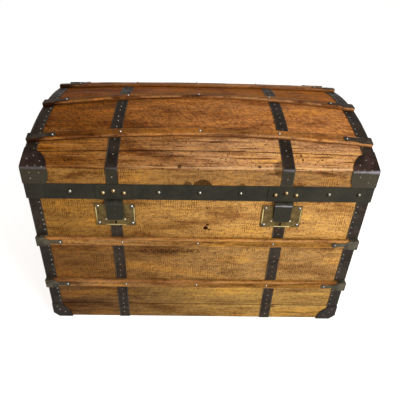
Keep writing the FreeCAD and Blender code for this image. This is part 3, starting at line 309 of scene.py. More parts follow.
def wood(name, dark, pale, along="X", streak=0.5, saw=0.1, patch=0.4, pits=0.3, figure=0.3, seed=0.0,
         gloss=0.5, stains=(), left_end_darkening=0.0, row=None, ridge=None, cracks=0.0):
    """Stained and waxed pine, in clouds, with a painted shade that darkens it toward the left end, away
    from the key lamp. Each of the stains is its X, Y, Z, radius, depth and shade. The wood can be darkened
    to nearly black at its very left end. A row of dents runs from one X to another at a Z. A ridge is a
    height along which a pale band is painted as a highlight, fading toward the left. Cracks are thin dark
    and pale lines."""
    material = begin(bpy.data.materials.new(name))
    here = put("TexCoord")["Object"]
    if along == "Y":
        here = put("Mapping", {"Vector": here, "Rotation": (0, 0, math.pi / 2)})[0]
    axes = put("SeparateXYZ", {0: here})
    across, height = axes["X"], axes["Z"]
    grain = put("Mapping", {"Vector": here, "Location": (seed, seed * 0.7, seed * 1.3)})[0]
    clouds = cloud(grain, (5, 17, 17), 5, 0.62)
    # painted shade: the colour goes from the dark tone at the left end to the pale one at the right, as the
    # light falls off away from the key lamp
    drift = sums("ADD", across, times(clouds, 0.36))
    colour = blend(ease(drift, -0.2, 0.36), dark, pale)
    colour = coat(colour, clouds, 0.5, 0.34, 0.7, (182, 162, 150))
    colour = coat(colour, clouds, 0.5, 0.68, 0.55, (255, 228, 172), "SOFT_LIGHT")
    # streaks, fibres and short dashes along the grain
    long_grain = cloud(grain, (6, 95, 95), 4, 0.62)
    colour = coat(colour, long_grain, 0.54, 0.7, streak, (158, 132, 116))
    colour = coat(colour, long_grain, 0.44, 0.3, streak, (255, 236, 190), "SOFT_LIGHT")
    fibre = cloud(grain, (20, 270, 270), 4, 0.75)
    colour = coat(colour, fibre, 0.5, 0.66, 0.6, (166, 144, 126))
    colour = coat(colour, fibre, 0.48, 0.34, 0.45, (255, 230, 180), "SOFT_LIGHT")
    dashes = cloud(grain, (70, 420, 420), 2, 0.5)
    colour = coat(colour, dashes, 0.64, 0.7, 0.6, (120, 92, 78))
    # brush marks, slanting across the grain
    slant = put("Mapping", {"Vector": grain, "Rotation": (0.3, 0.3, 0.9)})[0]
    brushed = cloud(slant, (36, 170, 170), 3, 0.6)
    colour = coat(colour, brushed, 0.52, 0.36, figure, (158, 128, 104))
    colour = coat(colour, brushed, 0.52, 0.66, figure, (255, 224, 160), "SOFT_LIGHT")
    # saw marks across the board: fine, close and even, fading in and out
    where = ease(cloud(grain, (9, 16, 16), 3), 0.42, 0.62)
    cuts = put("TexWave", {"Vector": grain, "Scale": 58.0, "Distortion": 7.0, "Detail": 4.0,
                           "Detail Scale": 0.9}, bands_direction="X")["Fac"]
    broken = ease(cloud(grain, (60, 60, 60), 2), 0.35, 0.6, 0.35, 1)
    marks = times(times(ease(cuts, 0.6, 0.95), where), times(broken, saw))
    colour = glaze(colour, marks, (164, 140, 114))
    # brown patches
    patches = cloud(grain, (9, 30, 30), 5, 0.62)
    colour = coat(colour, patches, 0.54, 0.64, patch, (146, 118, 106))
    # worm holes, specks and dents, dark inside
    pitted = ease(cloud(grain, (9, 24, 24), 2), 0.52, 0.6)
    small = pores(grain, (165, 210, 210), 0.3, 0.4)
    large = pores(grain, (42, 56, 56), 0.12, 0.2)
    specks = pores(grain, (210, 280, 280), 0.4, 0.2)
    holes = sums("MAXIMUM", times(small, pitted), sums("MAXIMUM", large, specks))
    holes = times(holes, pits)
    if row:
        start, end, level = row
        away = sums("ADD", apart(height, level), times(clouds, 0.003))
        between = times(sums("GREATER_THAN", across, start), sums("LESS_THAN", across, end))
        band = times(ease(away, 0.0085, 0.006), between)
        dents = times(band, pores(grain, (150, 300, 300), 0.52, 1.0))
        holes = sums("MAXIMUM", holes, dents)
    colour = blend(holes, colour, (40, 24, 14))
    if ridge:
        # painted highlight: a pale band along the ridge, fading out toward the left, away from the key lamp
        ragged = sums("ADD", apart(height, ridge), times(brushed, 0.006))
        painted_highlight_band = times(ease(ragged, 0.0052, 0.0022), ease(across, -0.3, 0.1, 0.1, 0.6))
        colour = glaze(colour, painted_highlight_band, (214, 176, 128), "SCREEN")
    if cracks:
        lines = cloud(grain, (7, 210, 210), 3, 0.6)
        colour = coat(colour, lines, 0.58, 0.66, cracks, (104, 66, 46))
        colour = coat(colour, lines, 0.42, 0.33, cracks, (120, 96, 70), "SCREEN")
    # darkens the wood to nearly black at its very left end
    if left_end_darkening:
        colour = coat(colour, across, -0.37, -0.41, left_end_darkening, (84, 64, 54))
    for x, y, z, radius, depth, shade in stains:
        reach = put("VectorMath", {0: here, 1: (x, y, z)}, operation="DISTANCE")["Value"]
        spread = sums("ADD", reach, times(cloud(grain, (60, 60, 60), 3), radius * 0.5))
        colour = coat(colour, spread, radius * 1.3, radius * 1.2, depth, shade)
    wax = cloud(grain, (12, 40, 40), 3)
    dull = ease(wax, 0.3, 0.75, 0.62 - 0.2 * gloss, 0.78 - 0.2 * gloss)
    raised = sums("ADD", times(long_grain, 0.8), times(brushed, 0.4))
    sunk = sums("ADD", times(holes, 2.0), times(fibre, 0.5))
    seal(colour, dull, sums("SUBTRACT", raised, sunk), strength=0.8, depth=0.0008, shine=0.03)
    return material


GREASE = (106, 98, 84)
SCORCH = (70, 48, 34)
KNOTS = ((0.020, -HALF_DEPTH, 0.352, 0.0062, 1.0, SCORCH), (0.025, -HALF_DEPTH, 0.363, 0.0036, 0.9, SCORCH),
         (0.029, -HALF_DEPTH, 0.347, 0.0030, 0.9, SCORCH), (0.022, -HALF_DEPTH, 0.417, 0.0030, 0.8, SCORCH))
LOW_KNOT = (0.235, -HALF_DEPTH, 0.052, 0.006, 0.6, SCORCH)
upper_pine = wood("upper_pine", (155, 112, 54), (193, 146, 84), streak=0.35, saw=0.9, patch=0.25, pits=0.8,
                  seed=1.0, stains=KNOTS)
middle_pine = wood("middle_pine", (122, 84, 44), (169, 129, 77), streak=0.35, saw=0.8, pits=0.8, seed=4.0,
                   row=(-0.157, 0.008, 0.2695))
lower_pine = wood("lower_pine", (112, 80, 48), (170, 134, 75), streak=0.7, saw=0.3, patch=0.35, pits=0.5,
                  seed=9.0, stains=(LOW_KNOT,))
end_pine = wood("end_pine", (150, 100, 46), (170, 118, 58), along="Y", saw=0.5, patch=0.5, pits=0.4,
                seed=14.0)
joint_dirt = wood("joint_dirt", (52, 32, 18), (74, 46, 26), saw=0.5, seed=17.0)
for face, back in FACES:
    wall = sorted((back * HALF_DEPTH, back * (HALF_DEPTH - BOARD)))
    shells = []
    for level, (low, high) in enumerate(LEVELS):
        board = plank((-HALF_WIDTH, wall[0], low), (HALF_WIDTH, wall[1], high), BOARD_EASE, 3)
        if level == 0:
            cut_corners(board)
        elif level == 1:
            cut(board, (0, 0, LOWER_SLAT), (0, 0, 1), keep_both=True)
        for board_face in board.faces:
            if not board_face.material_index:
                under_slat = board_face.calc_center_median().z < LOWER_SLAT
                board_face.material_index = 0 if under_slat else level
        shells.append(board)
    piece(face + "_wall", shells, (lower_pine, middle_pine, upper_pine, joint_dirt), "base",
          [face + "_boards"])
for end, side in ENDS:
    wall = sorted((side * HALF_WIDTH, side * (HALF_WIDTH - BOARD)))
    inset = HALF_DEPTH - BOARD
    shells = [plank((wall[0], -inset, low), (wall[1], inset, high), BOARD_EASE, 1) for low, high in LEVELS]
    cut_corners(shells[0])
    piece(end + "_end_wall", shells, (end_pine, joint_dirt), "base", [end + "_end_boards"])
finish_node("floor_boards", end_pine)

# ---- Sheet iron: straps, bindings and caps are thin iron, browned and blackened with age. Each strip
# has a worn, slightly raised bead along its edges and is held by rows of small tacks.


def sheet_iron(name, dark, light, rust=None, rough=0.5, metal=0.05, scale=1.0, seed=0.0, fold=None,
               below=None, fold_highlight=None, crown=None):
    """Aged sheet metal: two tones in clouds, fine pale wear and rust spots. Where it is folded over an edge
    at the height of the fold, it has another tone below it and a painted highlight along the fold, stronger
    toward the right. A domed head has painted shade on the sides turned away from the key lamp and a
    painted highlight on the side turned toward it."""
    material = begin(bpy.data.materials.new(name))
    place = put("TexCoord")
    grain = put("Mapping", {"Vector": place["Object"], "Location": (seed, seed, seed)})[0]
    clouds = ease(cloud(grain, (26 * scale, 26 * scale, 26 * scale), 5, 0.6), 0.35, 0.68)
    colour = blend(clouds, dark, light)
    if fold:
        axes = put("SeparateXYZ", {0: place["Object"]})
        # another tone on the faces below the fold
        under_fold_tone = blend(clouds, below, blend(0.3, below, light))
        colour = blend(ease(axes["Z"], fold, fold - 0.001), colour, under_fold_tone)
        # painted highlight: a pale, bluish band along the fold, stronger toward the right where the key
        # lamp stands
        ragged = sums("ADD", apart(axes["Z"], fold + 0.0015), times(clouds, 0.002))
        painted_highlight_band = times(ease(ragged, 0.0056, 0.0010), ease(axes["X"], -0.25, 0.3, 0.35, 0.8))
        colour = blend(painted_highlight_band, colour, fold_highlight)
    fine = cloud(grain, (420, 420, 420), 3, 0.7)
    colour = coat(colour, fine, 0.58, 0.75, 0.45, (60, 56, 50), "ADD")
    if rust:
        spots = cloud(grain, (75, 75, 75), 4, 0.65)
        colour = blend(ease(spots, 0.56, 0.68, 0, 0.6), colour, rust)
    if crown:
        # painted shade and highlight: darker on the sides turned away from the key lamp at the upper right
        # front, with a pale spot on the side that faces it
        facing_key_lamp = put("VectorMath", {0: place["Normal"], 1: (0.5, -0.62, 0.6)},
                        operation="DOT_PRODUCT")["Value"]
        colour = coat(colour, facing_key_lamp, 0.8, 0.2, 0.95, (92, 84, 74))
        colour = blend(ease(facing_key_lamp, 0.86, 0.99, 0, 0.8), colour, crown)
    dull = ease(clouds, 0, 1, rough - 0.08, rough + 0.12)
    relief = sums("ADD", times(fine, 0.4), clouds)
    seal(colour, dull, relief, strength=0.5, depth=0.0006, shine=0.05, metal=metal)
    return material


strap_iron = sheet_iron("strap_iron", (40, 32, 26), (60, 52, 43), (84, 58, 38), seed=2.0)
worn_edge = sheet_iron("worn_edge", (50, 43, 36), (88, 79, 69), seed=3.0, rough=0.4, metal=0.3)
tack_steel = sheet_iron("tack_steel", (96, 88, 77), (152, 144, 132), seed=5.0, rough=0.35, metal=0.5)
METAL = 0.0012
BEAD = 0.0014
BEAD_SLOPE = 0.00035
BEAD_RISE = 0.0003
STRAP = 0.030
STRAP_AT = 0.215
LEG = 0.029
TACK = 0.0021
TACK_RISE = 0.0011


def slab(columns, rows, size, height, shift=0.0):
    """Closed slab of an X by Y size on a grid, up from Z 0. A shift of 0.5 makes its Y start at 0."""
    mesh = bmesh.new()
    bmesh.ops.create_grid(mesh, x_segments=columns, y_segments=rows, size=0.5)
    bmesh.ops.translate(mesh, vec=(0, shift, 0), verts=mesh.verts)
    bmesh.ops.scale(mesh, vec=(*size, 1), verts=mesh.verts)
    bmesh.ops.reverse_faces(mesh, faces=mesh.faces)
    raised = bmesh.ops.extrude_face_region(mesh, geom=mesh.faces[:])["geom"]
    raised = [item for item in raised if isinstance(item, bmesh.types.BMVert)]
    bmesh.ops.translate(mesh, vec=(0, 0, height), verts=raised)
    return mesh


def strip(width, length, pieces):
    """Flat strip of sheet metal: X across it from its middle, Y along it from 0, Z up from its foot.
    Its rim stands a little proud, and has the second material."""
    mesh = slab(1, pieces, (width, length), METAL + BEAD_RISE, 0.5)
    upper = [face for face in mesh.faces if all(vert.co.z > 0 for vert in face.verts)]
    for face in upper:
        face.material_index = 1
    bmesh.ops.recalc_face_normals(mesh, faces=mesh.faces)
    bmesh.ops.inset_region(mesh, faces=upper, thickness=BEAD, depth=0, use_even_offset=True)
    bmesh.ops.inset_region(mesh, faces=upper, thickness=BEAD_SLOPE, depth=-BEAD_RISE, use_even_offset=True)
    for face in upper:
        face.material_index = 0
    return mesh


def lay(mesh, rule):
    """Bend a flat shape into place by a rule from its own X, Y and Z."""
    for vert in mesh.verts:
        vert.co = rule(*vert.co)
    bmesh.ops.recalc_face_normals(mesh, faces=mesh.faces)
    return mesh


def tack_shape(radius, rise, around=6, rings=2):
    """Domed head standing on the XY plane, as a mesh to copy."""
    mesh = bmesh.new()
    bmesh.ops.create_uvsphere(mesh, u_segments=around, v_segments=2 * rings, radius=1)
    cut(mesh, (0, 0, 0), (0, 0, -1))
    bmesh.ops.scale(mesh, vec=(radius, radius, rise), verts=mesh.verts)
    data = bpy.data.meshes.new("tack_shape")
    mesh.to_mesh(data)
    mesh.free()
    return data


def stand(point, outward):
    """Placement of a head that faces outward at a point."""
    return Matrix.Translation(point) @ Vector(outward).to_track_quat("Z", "Y").to_matrix().to_4x4()


def heads(shape, places):
    """One mesh with a copy of a head at each of many places."""
    mesh = bmesh.new()
    for place in places:
        before = len(mesh.verts)
        mesh.from_mesh(shape)
        mesh.verts.ensure_lookup_table()
        bmesh.ops.transform(mesh, matrix=place, verts=mesh.verts[before:])
    return mesh


small_tack = tack_shape(TACK, TACK_RISE)
draws = random.Random(7)


def tacks(name, places, body="base"):
    """Piece of small tacks at many places."""
    piece(name, [heads(small_tack, places)], (tack_steel,), body)


def tack_row(place, low, high, outward, pitch, drift):
    """Places of tacks up a wall, between two heights, a little uneven, as if put in by eye."""
    start, end = Vector((*place, low)), Vector((*place, high))
    count = round((end - start).length / pitch)
    sideways = Vector(outward).cross(end - start).normalized()
    places = []
    for index in range(count):
        share = (index + 0.5 + draws.uniform(-0.18, 0.18)) / count
        places.append(stand(start.lerp(end, share) + sideways * draws.uniform(-drift, drift), outward))
    return places


# ---- Corner bindings: sheet-iron angles nailed over the upright corners of the base, one leg on the
# front or back and one on the end, with a row of tacks near the inner edge of each leg.

binding_iron = sheet_iron("binding_iron", (36, 31, 26), (56, 50, 43), (80, 60, 44), seed=6.0)
BINDING_PITCH = 0.0180
BINDING_DRIFT = 0.0006
BINDING_ROW = (0.06, RIM - 0.016)
ROW_INSET = 0.005
inner = LEG - ROW_INSET
height = RIM - BOARD_FOOT
binding_tacks = []
for face, back in FACES:
    legs = []
    for side in (-1, 1):
        corner_x, corner_y = side * (HALF_WIDTH + METAL), back * (HALF_DEPTH + METAL)
        on_face = strip(LEG + METAL, height, pieces=30)
        lay(on_face, lambda x, y, z: (corner_x - side * ((LEG + METAL) / 2 + x), back * (HALF_DEPTH + z),
                                      BOARD_FOOT + y))
        on_end = strip(LEG + METAL, height, pieces=30)
        lay(on_end, lambda x, y, z: (side * (HALF_WIDTH + z), corner_y - back * ((LEG + METAL) / 2 + x),
                                     BOARD_FOOT + y))
        for leg in (on_face, on_end):
            cut_corners(leg, METAL)
            legs.append(leg)
        for place, outward in (((side * (HALF_WIDTH - inner), corner_y), (0, back, 0)),
                               ((corner_x, back * (HALF_DEPTH - inner)), (side, 0, 0))):
            binding_tacks += tack_row(place, *BINDING_ROW, outward, BINDING_PITCH, BINDING_DRIFT)
    piece("corner_binding_" + face, legs, (binding_iron, worn_edge), "base",
          ["corner_bindings_" + face])
tacks("corner_binding_tacks", binding_tacks)

# ---- Bottom corner caps: pressed iron caps over the cut corners, blackened, with three tacks on each
# face.

cap_iron = sheet_iron("cap_iron", (40, 34, 31), (58, 51, 46), seed=8.0, rough=0.55)
for face in ("front", "back"):
    finish_node("bottom_corner_caps_" + face, cap_iron)
CAP_FACE = 0.0027
CAP_TACKS = ((0.018, 0.030), (0.034, 0.020), (0.012, 0.043))
cap_tacks = []
for side in (-1, 1):
    for back in (-1, 1):
        for inward, up in CAP_TACKS:
            cap_tacks.append(stand((side * (HALF_WIDTH - inward), back * (HALF_DEPTH + CAP_FACE), up),
                                   (0, back, 0)))
            cap_tacks.append(stand((side * (HALF_WIDTH + CAP_FACE), back * (HALF_DEPTH - inward), up),
                                   (side, 0, 0)))
tacks("bottom_cap_tacks", cap_tacks)

# ---- Straps of the base: each wall strap is nailed on in two lengths that lap, with one row of tacks
# down its middle.

STRAP_PITCH = 0.0200
STRAP_DRIFT = 0.0015
STRAP_ROW = (0.012, RIM - 0.01)
LAPS = {-1: 0.042, 1: 0.135}
LAP = 0.004
LAP_LIFT = 0.0005
strap_tacks = []
for face, back in FACES:
    shells = {}
    for side in (-1, 1):
        shells[side] = []
        for low, high, lift in ((BOARD_FOOT, LAPS[side], 0.0), (LAPS[side] - LAP, RIM, LAP_LIFT)):
            length = strip(STRAP, high - low, pieces=12)
            lay(length, lambda x, y, z: (side * STRAP_AT + x,
                                         back * (HALF_DEPTH + z + (lift if z > 0 else 0)), low + y))
            shells[side].append(length)
        strap_tacks += tack_row((side * STRAP_AT, back * (HALF_DEPTH + METAL)), *STRAP_ROW, (0, back, 0),
                                STRAP_PITCH, STRAP_DRIFT)
    if face == "front":
        for name, side in ENDS:
            piece("front_strap_%s_iron" % name, shells[side], (strap_iron, worn_edge), "base",
                  ["front_strap_" + name])
    else:
        piece("back_straps_iron", shells[-1] + shells[1], (strap_iron, worn_edge), "base",
              ["back_straps"])
tacks("strap_tacks", strap_tacks)

# ---- Slats of the base: bent-wood battens with rounded outer edges, a little uneven from planing,
# nailed over the straps.

SLAT = 0.026
SLAT_TALL = 0.0105
SLAT_ROUND = 0.0042
END_SETBACK = 0.046
SLAT_FACE = -HALF_DEPTH - METAL - SLAT_TALL
SLAT_WAVE = 0.0007
WAVES_ASIDE, WAVES_UP = 14, 18
NAIL_HOLES = (0.014, 0.020, 0.026, 0.032, 0.039)
slat_pine = wood("slat_pine", (152, 111, 68), (148, 105, 46), streak=0.8, saw=0.15, patch=0.6, pits=0.8,
                 figure=0.2, seed=21.0, gloss=1.0, cracks=0.5,
                 stains=[(x, SLAT_FACE, 0.3125, 0.0022, 0.9, SCORCH) for x in NAIL_HOLES])
# painted highlight: paler wood on the slats' rounded edges
slat_edge = wood("slat_edge", (162, 112, 68), (180, 130, 78), streak=0.9, pits=0.4, figure=0.2, seed=21.0,
                 gloss=1.0)
# painted shade: darker wood for the slats' sides
slat_side_shade = wood("slat_side_shade", (84, 52, 28), (112, 72, 38), streak=0.6, seed=22.0)
end_slat_pine = wood("end_slat_pine", (160, 106, 56), (178, 122, 66), along="Y", streak=0.8, saw=0.15,
                     patch=0.5, pits=0.6, seed=25.0, gloss=1.0)
# painted highlight: paler wood on the end slats' rounded edges
end_slat_edge = wood("end_slat_edge", (176, 124, 76), (198, 148, 94), along="Y", streak=0.9, pits=0.4,
                     seed=26.0, gloss=1.0)


def batten(length, seed, tall=SLAT_TALL, pieces=60):
    """Slat along X from its middle, Y across, Z up from its foot, with wavy rounded outer edges. Its
    second material is for the rounded edges, which carry a painted highlight, and its third for the sides."""
    mesh = slab(pieces, 1, (length, SLAT), tall)
    long_edges = [edge for edge in mesh.edges
                  if all(v.co.z > tall / 2 for v in edge.verts)
                  and edge.verts[0].co.y * edge.verts[1].co.y > 0
                  and abs(edge.verts[0].co.x - edge.verts[1].co.x) > 1e-5]
    for face in mesh.faces:
        if abs(face.normal.y) > 0.5:
            face.material_index = 2
    round_edges(mesh, long_edges, SLAT_ROUND, 4, 1)
    for vert in mesh.verts:
        if vert.co.z > 0:
            side = 1 if vert.co.y > 0 else -1
            aside = noise.noise(Vector((vert.co.x * WAVES_ASIDE, seed + side * 3.1, 0)))
            up = noise.noise(Vector((vert.co.x * WAVES_UP, seed, side * 0.4)))
            vert.co.y += side * SLAT_WAVE * (aside - 0.6)
            vert.co.z += SLAT_WAVE * (up - 0.5)
    return mesh


for face, back in FACES:
    for level_name, level in (("lower", LOWER_SLAT), ("upper", UPPER_SLAT)):
        name = "%s_slat_%s" % (face, level_name)
        slat = batten(2 * HALF_WIDTH, seed=level * 40 + back)
        lay(slat, lambda x, y, z: (x, back * (HALF_DEPTH + METAL + z), level + y))
        piece(name + "_batten", [slat], (slat_pine, slat_edge, slat_pine), "base", [name])
shells = []
for side in (-1, 1):
    for level in (LOWER_SLAT, UPPER_SLAT):
        slat = batten(2 * (HALF_DEPTH - END_SETBACK), seed=level * 30 + side, pieces=36)
        lay(slat, lambda x, y, z: (side * (HALF_WIDTH + METAL + z), x, level + y))
        shells.append(slat)
piece("end_battens", shells, (end_slat_pine, end_slat_edge, slat_side_shade), "base", ["end_slats"])
clamp_zinc = sheet_iron("clamp_zinc", (56, 53, 43), (94, 88, 72), (80, 56, 34), seed=11.0,
                        rough=0.45, metal=0.3, scale=2.0)
# the crown tone paints a highlight on each nail head, with painted shade round its other sides
nail_steel = sheet_iron("nail_steel", (104, 102, 98), (160, 158, 154), seed=12.0, rough=0.35, metal=0.5,
                        crown=(232, 230, 226))
finish_node("base_slat_clamps", clamp_zinc)
finish_node("base_slat_nails", nail_steel)

# ---- Locks: an aged brass plate over each lock case, with a thickened pale rim between its corner
# nails, a keyhole and two rivets. A black sheet behind each keyhole and a black patch over its mouth
# are painted shade.

lock_brass = sheet_iron("lock_brass", (74, 60, 35), (108, 89, 52), (60, 46, 28), seed=13.0,
                        rough=0.38, metal=0.6, scale=1.6)
rim_brass = sheet_iron("rim_brass", (150, 132, 82), (204, 186, 128), seed=14.0, rough=0.3, metal=0.6)
rivet_brass = sheet_iron("rivet_brass", (206, 196, 160), (240, 232, 204), seed=15.0, rough=0.3)


def face_of(node):
    """Search tree of a solid of the frame, to set small fittings on its surface."""
    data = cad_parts[node].data
    return BVHTree.FromPolygons([v.co for v in data.vertices], [p.vertices[:] for p in data.polygons])


def met(surface, start, direction):
    """Point where a line from the start first meets the surface, and the surface's outward normal."""
    point, normal = surface.ray_cast(Vector(start), Vector(direction))[:2]
    return point, normal if normal.dot(Vector(direction)) < 0 else -normal


def flattened(point, outward, across, along):
    """Placement of a head stretched into a long bead: across and along its length."""
    return stand(point, outward) @ Matrix.Diagonal((across, along, 1, 1))


FORWARD = (0, -1, 0)
RIM_BEAD = 0.0016
RIM_INSET = 0.0026
SIDE_RIM, LOWER_RIM = 0.36, 0.27
RIVET_HEIGHT = 0.020
RIVET_ASIDE = 0.0245
MOUTH = 0.008
MOUTH_LEVELS = (0.002, 0.020)
MOUTH_DEPTHS = (0.0004, 0.0001)
MOUTH_EASE = 0.00005
KEYHOLE_SHADE_ACROSS, KEYHOLE_SHADE_ALONG, KEYHOLE_SHADE_HEIGHT = 0.0030, 0.0055, 0.0105
bead_shape = tack_shape(1.0, rise=0.0011, around=12, rings=3)
rivet_shape = tack_shape(0.0022, rise=0.0009, around=10)
keyhole_shade_shape = tack_shape(1.0, rise=0.0002, around=12)
keyhole_shade_black = sheet_iron("keyhole_shade_black", (10, 8, 7), (18, 15, 13), seed=23.0, rough=0.7)
rims, plate_rivets, keyhole_shade_backings, keyhole_shade_decals = [], [], [], []
for side in ("left", "right"):
    finish_node("lock_plate_" + side, lock_brass)
    low, high = (Vector(corner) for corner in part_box("lock_plate_" + side))
    middle = (low + high) / 2
    for x in (low.x + RIM_INSET, high.x - RIM_INSET):
        rims.append(flattened((x, low.y, middle.z), FORWARD, RIM_BEAD, (high.z - low.z) * SIDE_RIM))
    rims.append(flattened((middle.x, low.y, low.z + RIM_INSET), FORWARD,
                          (high.x - low.x) * LOWER_RIM, RIM_BEAD))
    for aside in (-RIVET_ASIDE, RIVET_ASIDE):
        plate_rivets.append(stand((middle.x + aside, low.y, low.z + RIVET_HEIGHT), FORWARD))
    # painted shade: a black sheet behind each keyhole stands for its dark inside
    keyhole_shade_backings.append(plank((middle.x - MOUTH, high.y - MOUTH_DEPTHS[0], low.z + MOUTH_LEVELS[0]),
                        (middle.x + MOUTH, high.y - MOUTH_DEPTHS[1], low.z + MOUTH_LEVELS[1]), MOUTH_EASE))
    # painted shade: a thin black patch on the plate darkens the keyhole's mouth
    keyhole_shade_decals.append(flattened((middle.x, low.y, low.z + KEYHOLE_SHADE_HEIGHT), FORWARD, KEYHOLE_SHADE_ACROSS, KEYHOLE_SHADE_ALONG))
piece("lock_plate_rims", [heads(bead_shape, rims)], (rim_brass,), "base")
piece("lock_plate_rivets", [heads(rivet_shape, plate_rivets)], (rivet_brass,), "base")
piece("lock_keyhole_shade", keyhole_shade_backings + [heads(keyhole_shade_shape, keyhole_shade_decals)], (keyhole_shade_black,), "base")
finish_node("lock_plate_nails", nail_steel)
finish_node("lock_cases", strap_iron)

# ---- Handles: a thick leather grip on each end, stitched along both edges, swelling in the middle and
# flat at its feet, where iron caps hold it with domed rivets.

HANDLE_MIDDLE = (LOWER_SLAT + UPPER_SLAT) / 2
HANDLE_HALF = 0.118
HANDLE_KNEE = 0.088
HANDLE_GRIP = 0.056
HANDLE_REACH = 0.0334
LEATHER = 0.007
LEATHER_ROUND = 0.0028
GRIP_WIDTH = 0.028
PADDING = 0.004
STITCH_PITCH = 0.0068
STITCH_INSET = 0.0045
STITCH_LENGTH, STITCH_WIDTH = 0.0021, 0.0006
STITCH_AHEAD = 0.0001
HANDLE_RIVET_OUT, HANDLE_RIVET_UP = 0.106, 0.0215
LINE_START = 0.05


def leather(name, dark, light):
    """Old harness leather: two browns in clouds, darker creases and a fine grain."""
    material = begin(bpy.data.materials.new(name))
    here = put("TexCoord")["Object"]
    colour = blend(ease(cloud(here, (40, 40, 40), 4), 0.35, 0.65), dark, light)
    grain = put("TexVoronoi", {"Vector": spot(here, (620, 620, 620)), "Scale": 1.0},
                feature="DISTANCE_TO_EDGE")["Distance"]
    creases = ease(cloud(here, (60, 260, 90), 3), 0.56, 0.66)
    colour = glaze(colour, times(creases, 0.7), (120, 100, 90))
    relief = sums("SUBTRACT", ease(grain, 0.0, 0.25), creases)
    seal(colour, 0.48, relief, strength=0.5, depth=0.0004, shine=0.15)
    return material


def grip_point(side, along, across, height):
    """Place on the grip: along from its middle, across its width, and up from its inner face."""
    bow = min(1.0, max(0.0, (HANDLE_KNEE - abs(along)) / (HANDLE_KNEE - HANDLE_GRIP)))
    out = (HANDLE_REACH - LEATHER) * bow * bow * (3 - 2 * bow)
    slope = (HANDLE_REACH - LEATHER) * 6 * bow * (1 - bow) / (HANDLE_KNEE - HANDLE_GRIP)
    normal = Vector((side, math.copysign(slope, along), 0)).normalized()
    swell = PADDING * math.cos(min(1.0, abs(along) / HANDLE_GRIP) * math.pi / 2)
    inner = -swell * (1 - height / LEATHER)
    return Vector((side * (HALF_WIDTH + out), along, HANDLE_MIDDLE + across)) + normal * (height + inner)


grip_leather = leather("grip_leather", (44, 26, 15), (78, 48, 28))
thread = leather("thread", (150, 126, 88), (182, 158, 116))
stitch_shape = tack_shape(1.0, rise=0.0006, around=8)
handle_rivets = []
for name, side in ENDS:
    grip = slab(64, 4, (2 * HANDLE_HALF, GRIP_WIDTH), LEATHER)
    bmesh.ops.recalc_face_normals(grip, faces=grip.faces)
    rims = [edge for edge in grip.edges if len(edge.link_faces) == 2 and edge.calc_face_angle() > 1
            and abs(edge.verts[0].co.x - edge.verts[1].co.x) > 0.001]
    round_edges(grip, rims, LEATHER_ROUND, 3)
    lay(grip, lambda x, y, z: grip_point(side, x, y, z))
    piece("handle_grip_" + name, [grip], (grip_leather,), "base", ["handle_" + name])
    stitches = []
    count = round(2 * HANDLE_KNEE / STITCH_PITCH)
    for edge in (-1, 1):
        for index in range(count):
            along = HANDLE_KNEE * (2 * (index + 0.5) / count - 1)
            across = edge * (GRIP_WIDTH / 2 - STITCH_INSET)
            point = grip_point(side, along, across, LEATHER)
            ahead = grip_point(side, along + STITCH_AHEAD, across, LEATHER) - point
            outward = Vector((abs(ahead.y), -ahead.x * side, 0)).normalized() * side
            stitches.append(flattened(point, outward, STITCH_LENGTH, STITCH_WIDTH))
    piece("handle_stitches_" + name, [heads(stitch_shape, stitches)], (thread,), "base")
    surface = face_of("handle_end_caps")
    for end in (-1, 1):
        for up in (-1, 1):
            start = (side * (HALF_WIDTH + LINE_START), end * HANDLE_RIVET_OUT,
                     HANDLE_MIDDLE + up * HANDLE_RIVET_UP)
            handle_rivets.append(stand(*met(surface, start, (-side, 0, 0))))
finish_node("handle_end_caps", cap_iron)
large_rivet = tack_shape(0.0036, rise=0.002, around=12, rings=3)
piece("handle_rivets", [heads(large_rivet, handle_rivets)], (tack_steel,), "base")

# ---- Dome: seven long boards to the lid, bent over the end boards, crowned both from front to back
# and from end to end, with an upright lip at the front and at the back.

LID_HALF = 0.433
LID_DEPTH = 0.573
LID_MIDDLE = -0.0015
LID_BOTTOM = 0.4565
LIP_TOP = 0.532
LID_WALL = 0.009
LID_OVERHANG = 0.003
LIP_FACE = -HALF_DEPTH - LID_OVERHANG
END_RISE, MIDDLE_RISE = 0.077, 0.087
RIDGE, LEAST_RIDGE = 0.005, 0.003
JOINTS = {"shoulder": (0.046, 0.054), "outer": (0.088, 0.113), "second": (0.237, 0.286),
          "third": (0.203, 0.199)}


def dome_form(x, offset):
    """Half depth, rise, ridge radius, crown radius and crown angle of the dome at x."""
    bow = 1 - (x / LID_HALF) ** 2
    half = LID_DEPTH / 2 + offset
    rise = END_RISE + (MIDDLE_RISE - END_RISE) * bow + offset
    ridge = max(RIDGE + offset, LEAST_RIDGE)
    crown = ((half - ridge) ** 2 + rise ** 2 - ridge ** 2) / (2 * (rise - ridge))
    return half, rise, ridge, crown, math.asin((half - ridge) / (crown - ridge))


def half_arc(x, offset=0.0):
    """Length of the dome's outline from the lip to the apex at x."""
    ridge, crown, angle = dome_form(x, offset)[2:]
    return ridge * (math.pi / 2 - angle) + crown * angle


def dome_frame(x, share, offset=0.0):
    """Point, direction and outward normal on the outline at x: share 0 is the front lip, 1 the apex
    and 2 the back lip."""
    half, rise, ridge, crown, angle = dome_form(x, offset)
    run = min(share, 2 - share) * half_arc(x, offset)
    bend = ridge * (math.pi / 2 - angle)
    if run < bend:
        lean = math.pi / 2 - run / ridge
        y, z = ridge - half - ridge * math.sin(lean), ridge * math.cos(lean)
    else:
        lean = angle - (run - bend) / crown
        y, z = -crown * math.sin(lean), rise - crown + crown * math.cos(lean)
    turn = 1 if share <= 1 else -1
    return (Vector((x, LID_MIDDLE + turn * y, LIP_TOP + z)),
            Vector((0, math.cos(lean), turn * math.sin(lean))),
            Vector((0, -turn * math.sin(lean), math.cos(lean))))


